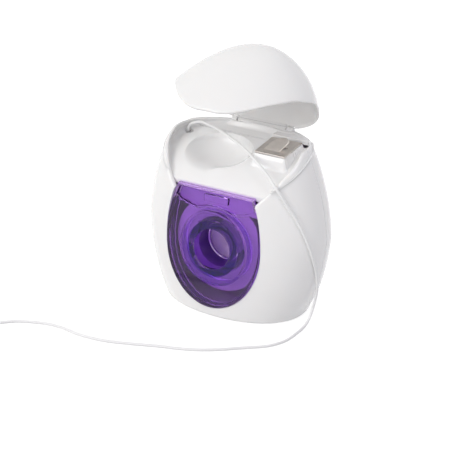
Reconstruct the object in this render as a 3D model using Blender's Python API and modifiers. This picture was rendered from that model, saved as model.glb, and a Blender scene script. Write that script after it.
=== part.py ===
"""Dental floss dispenser: an egg-shaped two-part case with a hinged hood lid, a bobbin behind
a clear coloured window, a stamped cutter and a length of floss drawn out onto the table.

Metres, +Z up. The origin is the middle of the flat base, and the window faces -Y.
The lid stands open, as it does while floss is drawn.
"""
import math

import bmesh
import bpy
import numpy as np
from mathutils import Matrix, Vector

# Fits
GAP = 0.0003
OVERRUN = 0.02
ROUND_SIDES = 40
HOLE_SIDES = 16
NOTCH_SIDES = 12
ARC_POINTS = 11
OUTLINE_POINTS = 40
CURVE_STEPS = 16

# Case: an egg with a flat base, cut into a front shell, a rear shell and a lid
BODY_HEIGHT = 0.0630
BODY_WIDTH = 0.056
BODY_DEPTH = 0.0328
BODY_WALL = 0.0013
LID_WALL = 0.0012
FOOT_ROUNDING = 0.0012
WIDEST_HEIGHT_SHARE = 0.380
DEEPEST_HEIGHT_SHARE = 0.190
LOWER_REACH_SHARE = 1.28
PLAN_POWER = 2.15
EGG_RINGS = 22
EGG_SIDES = 44
LOWER_POWERS = (1.46, 4.44)
UPPER_WIDTH_POWERS = (1.60, 2.35)
UPPER_DEPTH_POWERS = (1.78, 4.30)

# Parting line between case and lid, seen from the side: shares of half the depth, and of the height
PARTING_SHARES = ((-0.955, 0.481), (-0.925, 0.501), (-0.895, 0.525), (-0.841, 0.562), (-0.787, 0.595),
                  (-0.726, 0.625), (-0.646, 0.659), (-0.543, 0.695), (-0.378, 0.732), (-0.171, 0.773),
                  (0.030, 0.784), (0.793, 0.788))

# Lid hinge: a barrel on the lid, with stub pins that snap into two ears on the rear shell
LID_OPEN_ANGLE = math.radians(56.5)
HINGE_SET_IN = 0.0044
HINGE_DROP = 0.0006
HINGE_ROOT_HEIGHT = 0.0017
BARREL_RADIUS = 0.0010
BARREL_LENGTH = 0.0156
PIN_RADIUS = 0.0005
PIN_LENGTH = 0.0013
EAR_RADIUS = 0.0012
EAR_WIDTH = 0.0018
EAR_FOOT = 0.0035
EAR_SIDES = 22
PIN_SIDES = 14
LID_SWING_ROOM = 0.0016

# Window: a leaning plate with a skirt, a hub for the bobbin, a guard wall and a latch tab
WINDOW_LEAN = math.radians(5.5)
WINDOW_SET_BACK = 0.0019
WINDOW_WIDTH_SHARE = 0.5392
WINDOW_WIDEST_SHARE = 0.0270
WINDOW_REACH_SHARE = 0.4063
WINDOW_TOP_SHARE = 0.2714
WINDOW_BOTTOM_SHARE = 0.2730
WINDOW_HALF_WIDTH = WINDOW_WIDTH_SHARE * BODY_WIDTH / 2
WINDOW_WIDEST_RISE = WINDOW_WIDEST_SHARE * BODY_HEIGHT
WINDOW_UPPER_REACH = WINDOW_REACH_SHARE * BODY_HEIGHT
WINDOW_TOP_RISE = WINDOW_TOP_SHARE * BODY_HEIGHT
WINDOW_BOTTOM_DROP = WINDOW_BOTTOM_SHARE * BODY_HEIGHT
WINDOW_THICKNESS = 0.0012
SKIRT_DEPTH = 0.0040
SKIRT_WALL = 0.0008
HUB_HEIGHT_SHARE = 0.32222
HUB_HEIGHT = HUB_HEIGHT_SHARE * BODY_HEIGHT
HUB_RADIUS = 0.0080
HUB_BORE_RADIUS = 0.00575
HUB_DEPTH = 0.0092
HUB_END_WALL = 0.0010
GUARD_RADIUS = 0.0110
GUARD_WALL = 0.0008
GUARD_DEPTH = 0.0040
FLAP_RECESS = 0.0013
FLAP_SHARES = ((0.0, 0.72), (0.20, 0.705), (0.40, 0.667), (0.66, 0.696), (0.80, 0.737), (0.95, 0.78))
TAB_WIDTH = 0.0078
TAB_HEIGHT = 0.0020
TAB_PROUD = 0.0009
TAB_DROP = 0.0028

# Deck under the lid: a steep front panel, a shelf, a finger bowl and a block for the cutter
DECK_WALL = 0.0013
DECK_SETBACK_SHARES = (0.0, 0.4, 0.9, 0.9)
APRON_FOOT_DROP = 0.0060
PANEL_TOP_SHARE = (-0.28, 0.701)
SHELF_BACK_SHARE = (0.762, 0.781)
DECK_SPLIT = 0.0063
BASE_TONGUE_WIDTH = 0.018
BASE_TONGUE_REACH = 0.004
BOWL_PLACE_SHARES = (-0.150, -0.0732)
BOWL_RISE = 0.00264
BOWL_WIDTH_SHARE = 0.3786
BOWL_LENGTH = 0.0160
BOWL_DEPTH = 0.0066
FLOSS_HOLE_SHARES = (-0.6857, 0.1768)
FLOSS_HOLE_RADIUS = 0.0009

# Cutter: a stamped steel plate with a raised tongue, on the block
CUTTER_PLACE_SHARES = (0.4036, 0.0732)
CUTTER_BLOCK_RISE = 0.00183
CUTTER_SIZE = (0.0094, 0.0098)
CUTTER_RISE = math.radians(8.0)
CUTTER_THICKNESS = 0.00035
CUTTER_LEG_WIDTH = 0.0030
CUTTER_LEG_DEPTH = 0.0018
BLOCK_MARGIN = 0.0003
BLOCK_DEPTH = 0.0070
TONGUE_LENGTH = 0.0050
TONGUE_WIDTH = 0.0042
TONGUE_ANGLE = math.radians(24.0)
TONGUE_SLOT = 0.0005

# Bobbin on the hub, and the floss wound on it
BOBBIN_WALL = 0.0009
BOBBIN_FLANGE_RADIUS = 0.0140
BOBBIN_FLANGE_THICKNESS = 0.0008
BOBBIN_WIDTH = 0.0130
WINDING_RADIUS = 0.0130
BOSS_WALL = 0.0012
BOSS_STOP_WIDTH = 0.0012

# Floss: out of its hole, over the bowl, past the cutter, over the lip, down the side and along the table
FLOSS_DIAMETER = 0.0008
FLOSS_POINTS = 80
INNER_RUN_POINTS = 14
INNER_RUN_START = -0.0030
FLOSS_ROUTE = (
    (-0.0192, 0.0029, 0.0460), (-0.0192, 0.0029, 0.0472), (-0.0187, 0.0033, 0.0483),
    (-0.0172, 0.0038, 0.0490), (-0.0153, 0.0041, 0.0493), (-0.0128, 0.0035, 0.0492),
    (-0.0080, 0.0019, 0.0488), (-0.0034, 0.0000, 0.0482), (0.0011, -0.0021, 0.0475),
    (0.0049, -0.0044, 0.0468), (0.0071, -0.0056, 0.0462), (0.0101, -0.0072, 0.0452),
    (0.0142, -0.0096, 0.0437), (0.0174, -0.0113, 0.0418), (0.0195, -0.0110, 0.0391),
    (0.0213, -0.0103, 0.0361), (0.0233, -0.0094, 0.0329), (0.0256, -0.0080, 0.0276),
    (0.0271, -0.0060, 0.0212), (0.0272, -0.0035, 0.0153), (0.0270, -0.0023, 0.0101),
    (0.0263, -0.0025, 0.0053), (0.0259, -0.0043, 0.0016), (0.0258, -0.0067, 0.0004),
    (0.0260, -0.0104, 0.0004), (0.0257, -0.0161, 0.0004), (0.0242, -0.0202, 0.0004),
    (0.0220, -0.0231, 0.0004), (0.0175, -0.0271, 0.0004), (0.0134, -0.0308, 0.0004),
    (0.0091, -0.0339, 0.0004), (0.0041, -0.0364, 0.0004), (-0.0012, -0.0383, 0.0004),
    (-0.0097, -0.0419, 0.0004), (-0.0151, -0.0438, 0.0004), (-0.0203, -0.0447, 0.0004),
    (-0.0247, -0.0448, 0.0004), (-0.0293, -0.0443, 0.0004), (-0.0336, -0.0446, 0.0004),
    (-0.0378, -0.0459, 0.0004), (-0.0426, -0.0484, 0.0004), (-0.0459, -0.0517, 0.0004),
)
LIP_CROSSING = 13
NOTCH_ROOM = 0.0006
NOTCH_DROP = 0.0012

# The rest of the floss, wound into a coil of piled turns
COIL_CENTRE = (-0.0552, -0.0536)
COIL_START_ANGLE = math.radians(-41.0)
COIL_TURNS = 9
COIL_LAYERS = 4
COIL_INNER_RADIUS = 0.0030
COIL_OUTER_RADIUS = 0.0059
COIL_LAYER_RISE = 0.00125
COIL_TURN_POINTS = 24


def clear_scene():
    """Remove every object that the file holds."""
    for old in list(bpy.data.objects):
        bpy.data.objects.remove(old, do_unlink=True)


def new_collection(name):
    """Add a collection to the scene."""
    made = bpy.data.collections.new(name)
    bpy.context.scene.collection.children.link(made)
    return made


def new_material(name, color, roughness, metallic=0.0, alpha=1.0):
    """Make a Principled material."""
    made = bpy.data.materials.new(name)
    made.use_nodes = True
    shader = made.node_tree.nodes["Principled BSDF"]
    shader.inputs["Base Color"].default_value = (*color, 1.0)
    shader.inputs["Roughness"].default_value = roughness
    shader.inputs["Metallic"].default_value = metallic
    shader.inputs["Alpha"].default_value = alpha
    made.diffuse_color = (*color, alpha)
    return made


clear_scene()
PARTS = new_collection("floss_dispenser")
CUTTERS = new_collection("cutters")


def link_mesh(name, mesh, cutter=True):
    """Put a mesh in the scene as a cutter or as a part."""
    made = bpy.data.objects.new(name, mesh)
    if cutter:
        CUTTERS.objects.link(made)
        made.hide_render = True
        made.display_type = "WIRE"
    else:
        PARTS.objects.link(made)
    return made


def from_bmesh(name, shape, cutter=True):
    """Turn a bmesh into an object."""
    bmesh.ops.recalc_face_normals(shape, faces=shape.faces)
    mesh = bpy.data.meshes.new(name)
    shape.to_mesh(mesh)
    shape.free()
    return link_mesh(name, mesh, cutter)


def combine(target, tool, operation):
    """Cut, join or intersect the target with a tool."""
    step = target.modifiers.new(operation.lower() + "_" + tool.name, "BOOLEAN")
    step.operation = operation
    step.object = tool
    step.solver = "EXACT"
    return target


def cut(target, *tools):
    """Take tools away from the target."""
    for tool in tools:
        combine(target, tool, "DIFFERENCE")
    return target


def join(target, *tools):
    """Join tools to the target."""
    for tool in tools:
        combine(target, tool, "UNION")
    return target


def keep(target, *tools):
    """Keep what the target shares with each tool."""
    for tool in tools:
        combine(target, tool, "INTERSECT")
    return target


def box(name, low, high, cutter=True):
    """A box between two corners."""
    low, high = Vector(low), Vector(high)
    shape = bmesh.new()
    bmesh.ops.create_cube(shape, size=1.0)
    size = high - low
    bmesh.ops.scale(shape, vec=size, verts=shape.verts)
    bmesh.ops.translate(shape, vec=(low + high) / 2, verts=shape.verts)
    return from_bmesh(name, shape, cutter)


def rod(name, radius, start, end, sides=32, cutter=True):
    """A round rod from start to end."""
    start, end = Vector(start), Vector(end)
    shape = bmesh.new()
    bmesh.ops.create_cone(shape, cap_ends=True, segments=sides, radius1=radius, radius2=radius,
                          depth=(end - start).length)
    turn = (end - start).to_track_quat("Z", "Y").to_matrix().to_4x4()
    bmesh.ops.transform(shape, matrix=Matrix.Translation((start + end) / 2) @ turn, verts=shape.verts)
    return from_bmesh(name, shape, cutter)


def ellipsoid(name, radii, centre, grow=0.0):
    """An ellipsoid, grown on every side."""
    shape = bmesh.new()
    bmesh.ops.create_uvsphere(shape, u_segments=36, v_segments=18, radius=1.0)
    bmesh.ops.scale(shape, vec=[radius + grow for radius in radii], verts=shape.verts)
    bmesh.ops.translate(shape, vec=centre, verts=shape.verts)
    return from_bmesh(name, shape)


def outline_solid(name, points, depth, place, turn, cutter=True):
    """Extrude a flat outline by half the depth each way, then turn and place it."""
    curve = bpy.data.curves.new(name, "CURVE")
    curve.dimensions = "2D"
    curve.fill_mode = "BOTH"
    curve.extrude = depth / 2
    spline = curve.splines.new("POLY")
    spline.points.add(len(points) - 1)
    for point, (across, up) in zip(spline.points, points):
        point.co = (across, up, 0.0, 1.0)
    spline.use_cyclic_u = True
    carrier = bpy.data.objects.new(name, curve)
    bpy.context.scene.collection.objects.link(carrier)
    bpy.context.view_layer.update()
    mesh = bpy.data.meshes.new_from_object(carrier.evaluated_get(bpy.context.evaluated_depsgraph_get()))
    bpy.data.objects.remove(carrier, do_unlink=True)
    shape = bmesh.new()
    shape.from_mesh(mesh)
    bmesh.ops.remove_doubles(shape, verts=shape.verts, dist=GAP / 100)
    bmesh.ops.transform(shape, matrix=Matrix.Translation(place) @ turn, verts=shape.verts)
    return from_bmesh(name, shape, cutter)


def baked_mesh(made, name):
    """The object's mesh with its modifiers applied."""
    bpy.context.view_layer.update()
    mesh = bpy.data.meshes.new_from_object(made.evaluated_get(bpy.context.evaluated_depsgraph_get()))
    mesh.name = name
    return mesh


def half_sizes(height):
    """Half the width and half the depth of the egg at a height."""
    def swell(level, widest, top_powers):
        if level > widest:
            share = (level - widest) / (BODY_HEIGHT - widest)
            bend, fullness = top_powers
        else:
            share = (widest - level) / (LOWER_REACH_SHARE * BODY_HEIGHT * WIDEST_HEIGHT_SHARE)
            bend, fullness = LOWER_POWERS
        return max(0.0, 1.0 - min(1.0, share) ** bend) ** (1.0 / fullness)
    wide = swell(height, WIDEST_HEIGHT_SHARE * BODY_HEIGHT, UPPER_WIDTH_POWERS)
    deep = swell(height, DEEPEST_HEIGHT_SHARE * BODY_HEIGHT, UPPER_DEPTH_POWERS)
    return wide * BODY_WIDTH / 2, deep * BODY_DEPTH / 2


def egg(name, inset, cutter=True):
    """The egg, drawn in by an inset: rings of a sphere are sent to levels of the egg."""
    rings, around = EGG_RINGS, EGG_SIDES
    shape = bmesh.new()
    bmesh.ops.create_uvsphere(shape, u_segments=around, v_segments=rings, radius=1.0)
    inset_scale = Vector(((BODY_WIDTH - 2 * inset) / BODY_WIDTH, (BODY_DEPTH - 2 * inset) / BODY_DEPTH,
                          (BODY_HEIGHT - 2 * inset) / BODY_HEIGHT))
    for vert in shape.verts:
        ring = round((math.asin(max(-1.0, min(1.0, vert.co.z))) / math.pi + 0.5) * rings)
        turn = math.atan2(vert.co.y, vert.co.x)
        if ring < 3:
            lean = (0.0, 0.0, math.pi / 4)[ring]
            height = FOOT_ROUNDING * (1.0 - math.cos(lean))
            draw_in = FOOT_ROUNDING * (1.0 - math.sin(lean))
        else:
            climb = (ring - 3) / (rings - 3)
            height = FOOT_ROUNDING + (BODY_HEIGHT - FOOT_ROUNDING) * math.sin(climb * math.pi / 2)
            draw_in = 0.0
        wide, deep = half_sizes(max(height, FOOT_ROUNDING))
        if ring in (0, rings):
            wide = deep = draw_in
        side, front = math.cos(turn), math.sin(turn)
        vert.co.x = (wide - draw_in) * math.copysign(abs(side) ** (2 / PLAN_POWER), side) * inset_scale.x
        vert.co.y = (deep - draw_in) * math.copysign(abs(front) ** (2 / PLAN_POWER), front) * inset_scale.y
        vert.co.z = inset + height * inset_scale.z
    return from_bmesh(name, shape, cutter)


def side_outline(shares):
    """Points of a side view, from shares of half the depth and of the height."""
    return [(back * BODY_DEPTH / 2, up * BODY_HEIGHT) for back, up in shares]


# A side view (y, z) drawn in the xy plane is stood up with its extrusion along x.
SIDE_TURN = Matrix(((0, 0, 1, 0), (1, 0, 0, 0), (0, 1, 0, 0), (0, 0, 0, 1)))


def parting_prism(name, shift, above):
    """The space above or below the parting line, moved up or down by a shift."""
    line = [(back, up + shift) for back, up in side_outline(PARTING_SHARES)]
    front, rear = -BODY_DEPTH, BODY_DEPTH
    far = BODY_HEIGHT + OVERRUN if above else -OVERRUN
    points = [(front, far), (front, line[0][1])] + line + [(rear, line[-1][1]), (rear, far)]
    return outline_solid(name, points, 2 * BODY_WIDTH, (0, 0, 0), SIDE_TURN)


# Window frame: x across, y up the leaning plate, z out of it, from the hub's centre
WINDOW_CENTRE = Vector((0.0, -(BODY_DEPTH / 2 - WINDOW_SET_BACK), HUB_HEIGHT))
WINDOW_TURN = Matrix.Rotation(math.pi / 2 - WINDOW_LEAN, 4, "X")
WINDOW_OUT = WINDOW_TURN.to_3x3() @ Vector((0, 0, 1))
WINDOW_TOP = WINDOW_CENTRE.z + WINDOW_TOP_RISE * math.cos(WINDOW_LEAN)
WINDOW_TOP_BACK = WINDOW_CENTRE.y + WINDOW_TOP_RISE * math.sin(WINDOW_LEAN)


def window_outline(grow):
    """The window's outline: two half ellipses, the upper one cut straight by the top edge."""
    half = WINDOW_HALF_WIDTH + grow
    upper = WINDOW_UPPER_REACH + grow
    lower = WINDOW_BOTTOM_DROP + WINDOW_WIDEST_RISE + grow
    top = WINDOW_TOP_RISE - WINDOW_WIDEST_RISE + grow
    corner = math.asin(top / upper)
    angles = np.linspace(corner, -math.pi - corner, OUTLINE_POINTS)
    reach = np.where(np.sin(angles) > 0, upper, lower)
    return [(half * math.cos(angle), WINDOW_WIDEST_RISE + far * math.sin(angle))
            for angle, far in zip(angles, reach)]


def window_slab(name, points, front, back):
    """A slab parallel to the window, from one depth behind its face to another."""
    middle = WINDOW_CENTRE - WINDOW_OUT * (front + back) / 2
    return outline_solid(name, points, back - front, middle, WINDOW_TURN)


def flap_outline(grow):
    """The recess that the lid's front edge drops into: its lower edge, mirrored, and its top."""
    right = [(side * WINDOW_HALF_WIDTH, up * WINDOW_TOP_RISE - grow) for side, up in FLAP_SHARES]
    left = [(-side, up) for side, up in reversed(right[1:])]
    top = WINDOW_TOP_RISE + OVERRUN
    return left + right + [(right[-1][0], top), (left[0][0], top)]


def make_window():
    """The clear coloured window, with everything moulded onto its back."""
    block = window_slab("window_block", window_outline(0.0), 0.0, SKIRT_DEPTH)
    window = link_mesh("spool_window", block.data, cutter=False)
    bpy.data.objects.remove(block, do_unlink=True)
    hollow = window_slab("window_hollow", window_outline(-SKIRT_WALL), WINDOW_THICKNESS, OVERRUN)
    flap = window_slab("window_flap", flap_outline(SKIRT_WALL),
                       FLAP_RECESS / 2, FLAP_RECESS + WINDOW_THICKNESS)
    recess = window_slab("window_flap_recess", flap_outline(0.0), -OVERRUN, FLAP_RECESS)
    keep(flap, window_slab("window_flap_trim", window_outline(-SKIRT_WALL / 2), -OVERRUN, OVERRUN))
    face = WINDOW_CENTRE.y
    hub = rod("window_hub", HUB_RADIUS, (0, face + WINDOW_THICKNESS / 2, HUB_HEIGHT),
              (0, face + HUB_DEPTH, HUB_HEIGHT), ROUND_SIDES)
    bore = rod("window_hub_bore", HUB_BORE_RADIUS, (0, face - OVERRUN, HUB_HEIGHT),
               (0, face + HUB_DEPTH - HUB_END_WALL, HUB_HEIGHT), ROUND_SIDES)
    guard = rod("window_guard", GUARD_RADIUS, (0, face + WINDOW_THICKNESS / 2, HUB_HEIGHT),
                (0, face + GUARD_DEPTH, HUB_HEIGHT), ROUND_SIDES)
    guard_hollow = rod("window_guard_hollow", GUARD_RADIUS - GUARD_WALL, (0, face, HUB_HEIGHT),
                       (0, face + OVERRUN, HUB_HEIGHT), ROUND_SIDES)
    cut(guard, guard_hollow)
    half_tab = TAB_WIDTH / 2
    tab_rise = WINDOW_TOP_RISE - TAB_DROP
    tab_points = [(-half_tab, tab_rise - TAB_HEIGHT / 2), (half_tab, tab_rise - TAB_HEIGHT / 2),
                  (half_tab, tab_rise + TAB_HEIGHT / 2), (-half_tab, tab_rise + TAB_HEIGHT / 2)]
    tab = window_slab("window_tab", tab_points, FLAP_RECESS - TAB_PROUD, FLAP_RECESS + WINDOW_THICKNESS / 2)
    cut(window, hollow)
    join(window, flap, guard, hub)
    cut(window, recess, bore)
    join(window, tab)
    return window


def shelf_height(back):
    """Height of the shelf's top at a distance back."""
    (y0, z0), (y1, z1) = side_outline((PANEL_TOP_SHARE, SHELF_BACK_SHARE))
    return z0 + (back - y0) * (z1 - z0) / (y1 - y0)


def on_deck(shares, rise=0.0):
    """A place given in shares of half the width and half the depth, at a rise above the shelf's plane."""
    across, back = shares[0] * BODY_WIDTH / 2, shares[1] * BODY_DEPTH / 2
    return Vector((across, back, shelf_height(back) + rise))


def bowl_solid(name, grow=0.0):
    """The finger bowl's ellipsoid, grown on every side."""
    radii = (BOWL_WIDTH_SHARE * BODY_WIDTH / 2, BOWL_LENGTH / 2, BOWL_DEPTH)
    return ellipsoid(name, radii, on_deck(BOWL_PLACE_SHARES, BOWL_RISE), grow)


def deck_body(name):
    """The deck as one solid, wide enough to be trimmed by the case: slab, bowl and cutter block."""
    foot = (WINDOW_TOP_BACK + FLAP_RECESS - APRON_FOOT_DROP * math.sin(WINDOW_LEAN),
            WINDOW_TOP - APRON_FOOT_DROP)
    edge = (WINDOW_TOP_BACK + FLAP_RECESS, WINDOW_TOP + GAP)
    crown, = side_outline((PANEL_TOP_SHARE,))
    end = (BODY_DEPTH, shelf_height(BODY_DEPTH))
    top = [foot, edge, crown, end]
    under = [(back + DECK_WALL * share, up - DECK_WALL)
             for (back, up), share in zip(reversed(top), DECK_SETBACK_SHARES)]
    deck = outline_solid(name, top + under, 2 * BODY_WIDTH, (0, 0, 0), SIDE_TURN)
    covered = [(back, up - DECK_WALL / 2) for back, up in top] + [(BODY_DEPTH, -OVERRUN), (foot[0], -OVERRUN)]
    bowl = keep(bowl_solid(name + "_bowl", DECK_WALL),
                outline_solid(name + "_cover", covered, 2 * BODY_WIDTH, (0, 0, 0), SIDE_TURN))
    join(deck, bowl, cutter_block(name + "_block"))
    return deck


def cutter_turn():
    """The cutter's tilt, rising to the back."""
    return Matrix.Rotation(CUTTER_RISE, 4, "X")


def cutter_frame():
    """The cutter's place: the middle of its underside."""
    return Matrix.Translation(on_deck(CUTTER_PLACE_SHARES, CUTTER_BLOCK_RISE)) @ cutter_turn()


def tilted_box(name, low, high, cutter=True):
    """A box in the cutter's tilted frame."""
    made = box(name, low, high, cutter)
    made.data.transform(cutter_frame())
    return made


def cutter_block(name):
    """The block that carries the cutter."""
    wide, deep = (size / 2 + BLOCK_MARGIN for size in CUTTER_SIZE)
    return tilted_box(name, (-wide, -deep, -BLOCK_DEPTH), (wide, deep, -GAP))


def cutter_legs(name, grow):
    """The two legs that clip the cutter into its block."""
    wide = CUTTER_SIZE[0] / 2 - CUTTER_THICKNESS
    half = CUTTER_LEG_WIDTH / 2 + grow
    legs = []
    for side in (-1, 1):
        inner, outer = side * (wide - CUTTER_THICKNESS - grow), side * (wide + grow)
        legs.append(tilted_box(f"{name}_{side}", (min(inner, outer), -half, -CUTTER_LEG_DEPTH - grow),
                               (max(inner, outer), half, CUTTER_THICKNESS / 2)))
    return legs


def make_cutter():
    """The stamped cutter: plate, raised tongue over its slot, and legs."""
    wide, deep = (size / 2 for size in CUTTER_SIZE)
    plate = tilted_box("cutter_plate", (-wide, -deep, 0.0), (wide, deep, CUTTER_THICKNESS), cutter=False)
    half = TONGUE_WIDTH / 2
    start = -TONGUE_LENGTH / 2
    slot = tilted_box("cutter_slot", (-half - TONGUE_SLOT, start, -OVERRUN),
                      (half + TONGUE_SLOT, start + TONGUE_LENGTH + TONGUE_SLOT, OVERRUN))
    angles = np.linspace(0.0, math.pi, ARC_POINTS)
    points = [(half, 0.0)] + [(half * math.cos(angle), TONGUE_LENGTH - half + half * math.sin(angle))
                              for angle in angles] + [(-half, 0.0)]
    root = cutter_frame() @ Matrix.Translation((0, start - CUTTER_THICKNESS, CUTTER_THICKNESS / 2))
    tongue = outline_solid("cutter_tongue", points, CUTTER_THICKNESS, (0, 0, 0),
                           root @ Matrix.Rotation(TONGUE_ANGLE, 4, "X"))
    cut(plate, slot)
    join(plate, tongue, *cutter_legs("cutter_leg", 0.0))
    return plate


def make_shells(eggs):
    """The front and rear shells, with the deck moulded into them."""
    far = BODY_HEIGHT + OVERRUN
    half_gap = GAP / 2
    below = parting_prism("below_parting", -half_gap, above=False)
    front_half = box("front_half", (-far, -far, -far), (far, -half_gap, far))
    rear_half = box("rear_half", (-far, half_gap, -far), (far, far, far))
    tongue_half = BASE_TONGUE_WIDTH / 2
    tongue_top = 2 * BODY_WALL
    base_tongue = box("base_tongue", (-tongue_half, -BODY_WALL, -OVERRUN),
                      (tongue_half, BASE_TONGUE_REACH, tongue_top))
    tongue_room = box("base_tongue_room", (-tongue_half - GAP, -BODY_WALL, -OVERRUN),
                      (tongue_half + GAP, BASE_TONGUE_REACH + GAP, tongue_top + GAP))
    join(front_half, base_tongue)
    cut(rear_half, tongue_room)

    deck_trim = join(egg("deck_trim", BODY_WALL + GAP),
                     keep(egg("deck_trim_front", BODY_WALL * 2 / 3),
                          box("deck_trim_half", (-far, -far, -far), (far, -half_gap, far))))
    front_deck = keep(deck_body("front_deck"), deck_trim,
                      box("front_deck_half", (-far, -far, -far), (far, DECK_SPLIT - half_gap, far)))
    rear_deck = keep(deck_body("rear_deck"), egg("rear_deck_trim", BODY_WALL * 2 / 3),
                     box("rear_deck_half", (-far, DECK_SPLIT + half_gap, -far), (far, far, far)),
                     parting_prism("rear_deck_cover", -2 * GAP, above=False))

    bowl = bowl_solid("bowl")
    hole_x, hole_y, _ = on_deck(FLOSS_HOLE_SHARES)
    hole = rod("floss_hole", FLOSS_HOLE_RADIUS, (hole_x, hole_y, BODY_HEIGHT / 2),
               (hole_x, hole_y, BODY_HEIGHT), HOLE_SIDES)
    opening = window_slab("window_opening", window_outline(GAP), -OVERRUN, OVERRUN)

    front = egg("front_shell", 0.0, cutter=False)
    cut(front, eggs["inner"])
    keep(front, below, front_half)
    join(front, front_deck)
    cut(front, opening, bowl, hole, *cutter_legs("cutter_leg_room", GAP))

    rear = egg("rear_shell", 0.0, cutter=False)
    cut(rear, eggs["inner"])
    keep(rear, below, rear_half)
    boss_end = WINDOW_CENTRE.y + HUB_DEPTH + GAP
    stop_start = BOBBIN_FRONT + BOBBIN_WIDTH + GAP
    boss = rod("bobbin_boss", HUB_RADIUS, (0, boss_end, HUB_HEIGHT),
               (0, BODY_DEPTH / 2, HUB_HEIGHT), ROUND_SIDES)
    stop = rod("bobbin_stop", HUB_RADIUS + BOSS_STOP_WIDTH, (0, stop_start, HUB_HEIGHT),
               (0, BODY_DEPTH / 2, HUB_HEIGHT), ROUND_SIDES)
    boss_bore = rod("bobbin_boss_bore", HUB_RADIUS - BOSS_WALL, (0, -OVERRUN, HUB_HEIGHT),
                    (0, BODY_DEPTH / 2 - 2 * BODY_WALL, HUB_HEIGHT), ROUND_SIDES)
    join(boss, stop)
    keep(boss, egg("boss_trim", BODY_WALL * 2 / 3))
    join(rear, rear_deck, boss)
    cut(rear, boss_bore)
    add_hinge_seat(rear)
    return front, rear


HINGE = Vector((0.0, BODY_DEPTH / 2 - HINGE_SET_IN, side_outline(PARTING_SHARES)[-1][1] - HINGE_DROP))
BOBBIN_FRONT = WINDOW_CENTRE.y + GUARD_DEPTH + 2 * GAP


def add_hinge_seat(rear):
    """Ears for the lid's pins, and room for its barrel and its swing."""
    half = BARREL_LENGTH / 2 + GAP
    for side in (-1, 1):
        inner, outer = side * (half - GAP), side * (half + EAR_WIDTH)
        ear = rod(f"hinge_ear_{side}", EAR_RADIUS, (inner, HINGE.y, HINGE.z),
                  (outer, HINGE.y, HINGE.z), EAR_SIDES)
        foot = box(f"hinge_ear_foot_{side}",
                   (min(inner, outer), HINGE.y - EAR_RADIUS / 2, HINGE.z - EAR_FOOT),
                   (max(inner, outer), HINGE.y + EAR_RADIUS / 2, HINGE.z))
        join(rear, join(ear, foot))
    reach = BARREL_RADIUS + GAP
    front_side = [(HINGE.y - reach * math.sin(angle), HINGE.z + reach * math.cos(angle))
                  for angle in np.linspace(0.0, math.pi, EAR_SIDES // 2)]
    floor = HINGE.z - LID_SWING_ROOM - GAP
    room = front_side + [(HINGE.y, floor), (BODY_DEPTH, floor), (BODY_DEPTH, BODY_HEIGHT),
                         (HINGE.y, BODY_HEIGHT)]
    swing_room = outline_solid("swing_room", room, 2 * half, (0, 0, 0), SIDE_TURN)
    pin_end = half + PIN_LENGTH
    pin_room = rod("pin_room", PIN_RADIUS + GAP, (-pin_end, HINGE.y, HINGE.z),
                   (pin_end, HINGE.y, HINGE.z), PIN_SIDES)
    cut(rear, swing_room, pin_room)


def make_lid(eggs):
    """The hood lid, modelled shut and then swung open about its hinge."""
    shut = egg("lid_shut", 0.0)
    cut(shut, eggs["lid_inner"])
    keep(shut, parting_prism("above_parting", GAP / 2, above=True))
    half = BARREL_LENGTH / 2
    for side in (-1, 1):
        inner, outer = side * half, side * (half + EAR_WIDTH + 2 * GAP)
        cut(shut, rod(f"ear_room_{side}", EAR_RADIUS + GAP, (inner, HINGE.y, HINGE.z),
                      (outer, HINGE.y, HINGE.z), EAR_SIDES))
    barrel = rod("lid_barrel", BARREL_RADIUS, (-half, HINGE.y, HINGE.z), (half, HINGE.y, HINGE.z), EAR_SIDES)
    reach = half + PIN_LENGTH
    join(barrel, rod("lid_pins", PIN_RADIUS, (-reach, HINGE.y, HINGE.z),
                     (reach, HINGE.y, HINGE.z), PIN_SIDES))
    root = box("lid_hinge_root", (-half + GAP, HINGE.y - BARREL_RADIUS / 2, HINGE.z),
               (half - GAP, HINGE.y + BARREL_RADIUS / 2, HINGE.z + HINGE_ROOT_HEIGHT))
    join(shut, join(barrel, root))
    crossing = [Vector(point) for point in FLOSS_ROUTE[LIP_CROSSING - 1:LIP_CROSSING + 2]]
    for start, end in zip(crossing, crossing[1:]):
        for drop in (Vector((0, 0, 0)), Vector((0, 0, NOTCH_DROP))):
            cut(shut, rod("floss_notch", FLOSS_DIAMETER / 2 + NOTCH_ROOM,
                          start - drop, end - drop, NOTCH_SIDES))
    lid = link_mesh("lid", baked_mesh(shut, "lid"), cutter=False)
    lid.data.transform(Matrix.Translation(-HINGE))
    axis = bpy.data.objects.new("lid_hinge_axis", None)
    CUTTERS.objects.link(axis)
    axis.location = HINGE
    axis.rotation_euler.x = -LID_OPEN_ANGLE
    lid.parent = axis
    return lid


def turned(name, profile, cutter=False):
    """Turn a closed profile of (radius, distance back) about the bobbin's axis."""
    mesh = bpy.data.meshes.new(name)
    shape = bmesh.new()
    corners = [shape.verts.new((radius, 0.0, up)) for radius, up in profile]
    for first, second in zip(corners, corners[1:] + corners[:1]):
        shape.edges.new((first, second))
    shape.to_mesh(mesh)
    shape.free()
    made = link_mesh(name, mesh, cutter)
    step = made.modifiers.new("turn", "SCREW")
    step.steps = ROUND_SIDES
    step.render_steps = ROUND_SIDES
    step.use_merge_vertices = True
    step.merge_threshold = GAP / 30
    made.rotation_euler.x = math.pi / 2
    made.location = (0, 0, HUB_HEIGHT)
    return made


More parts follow.
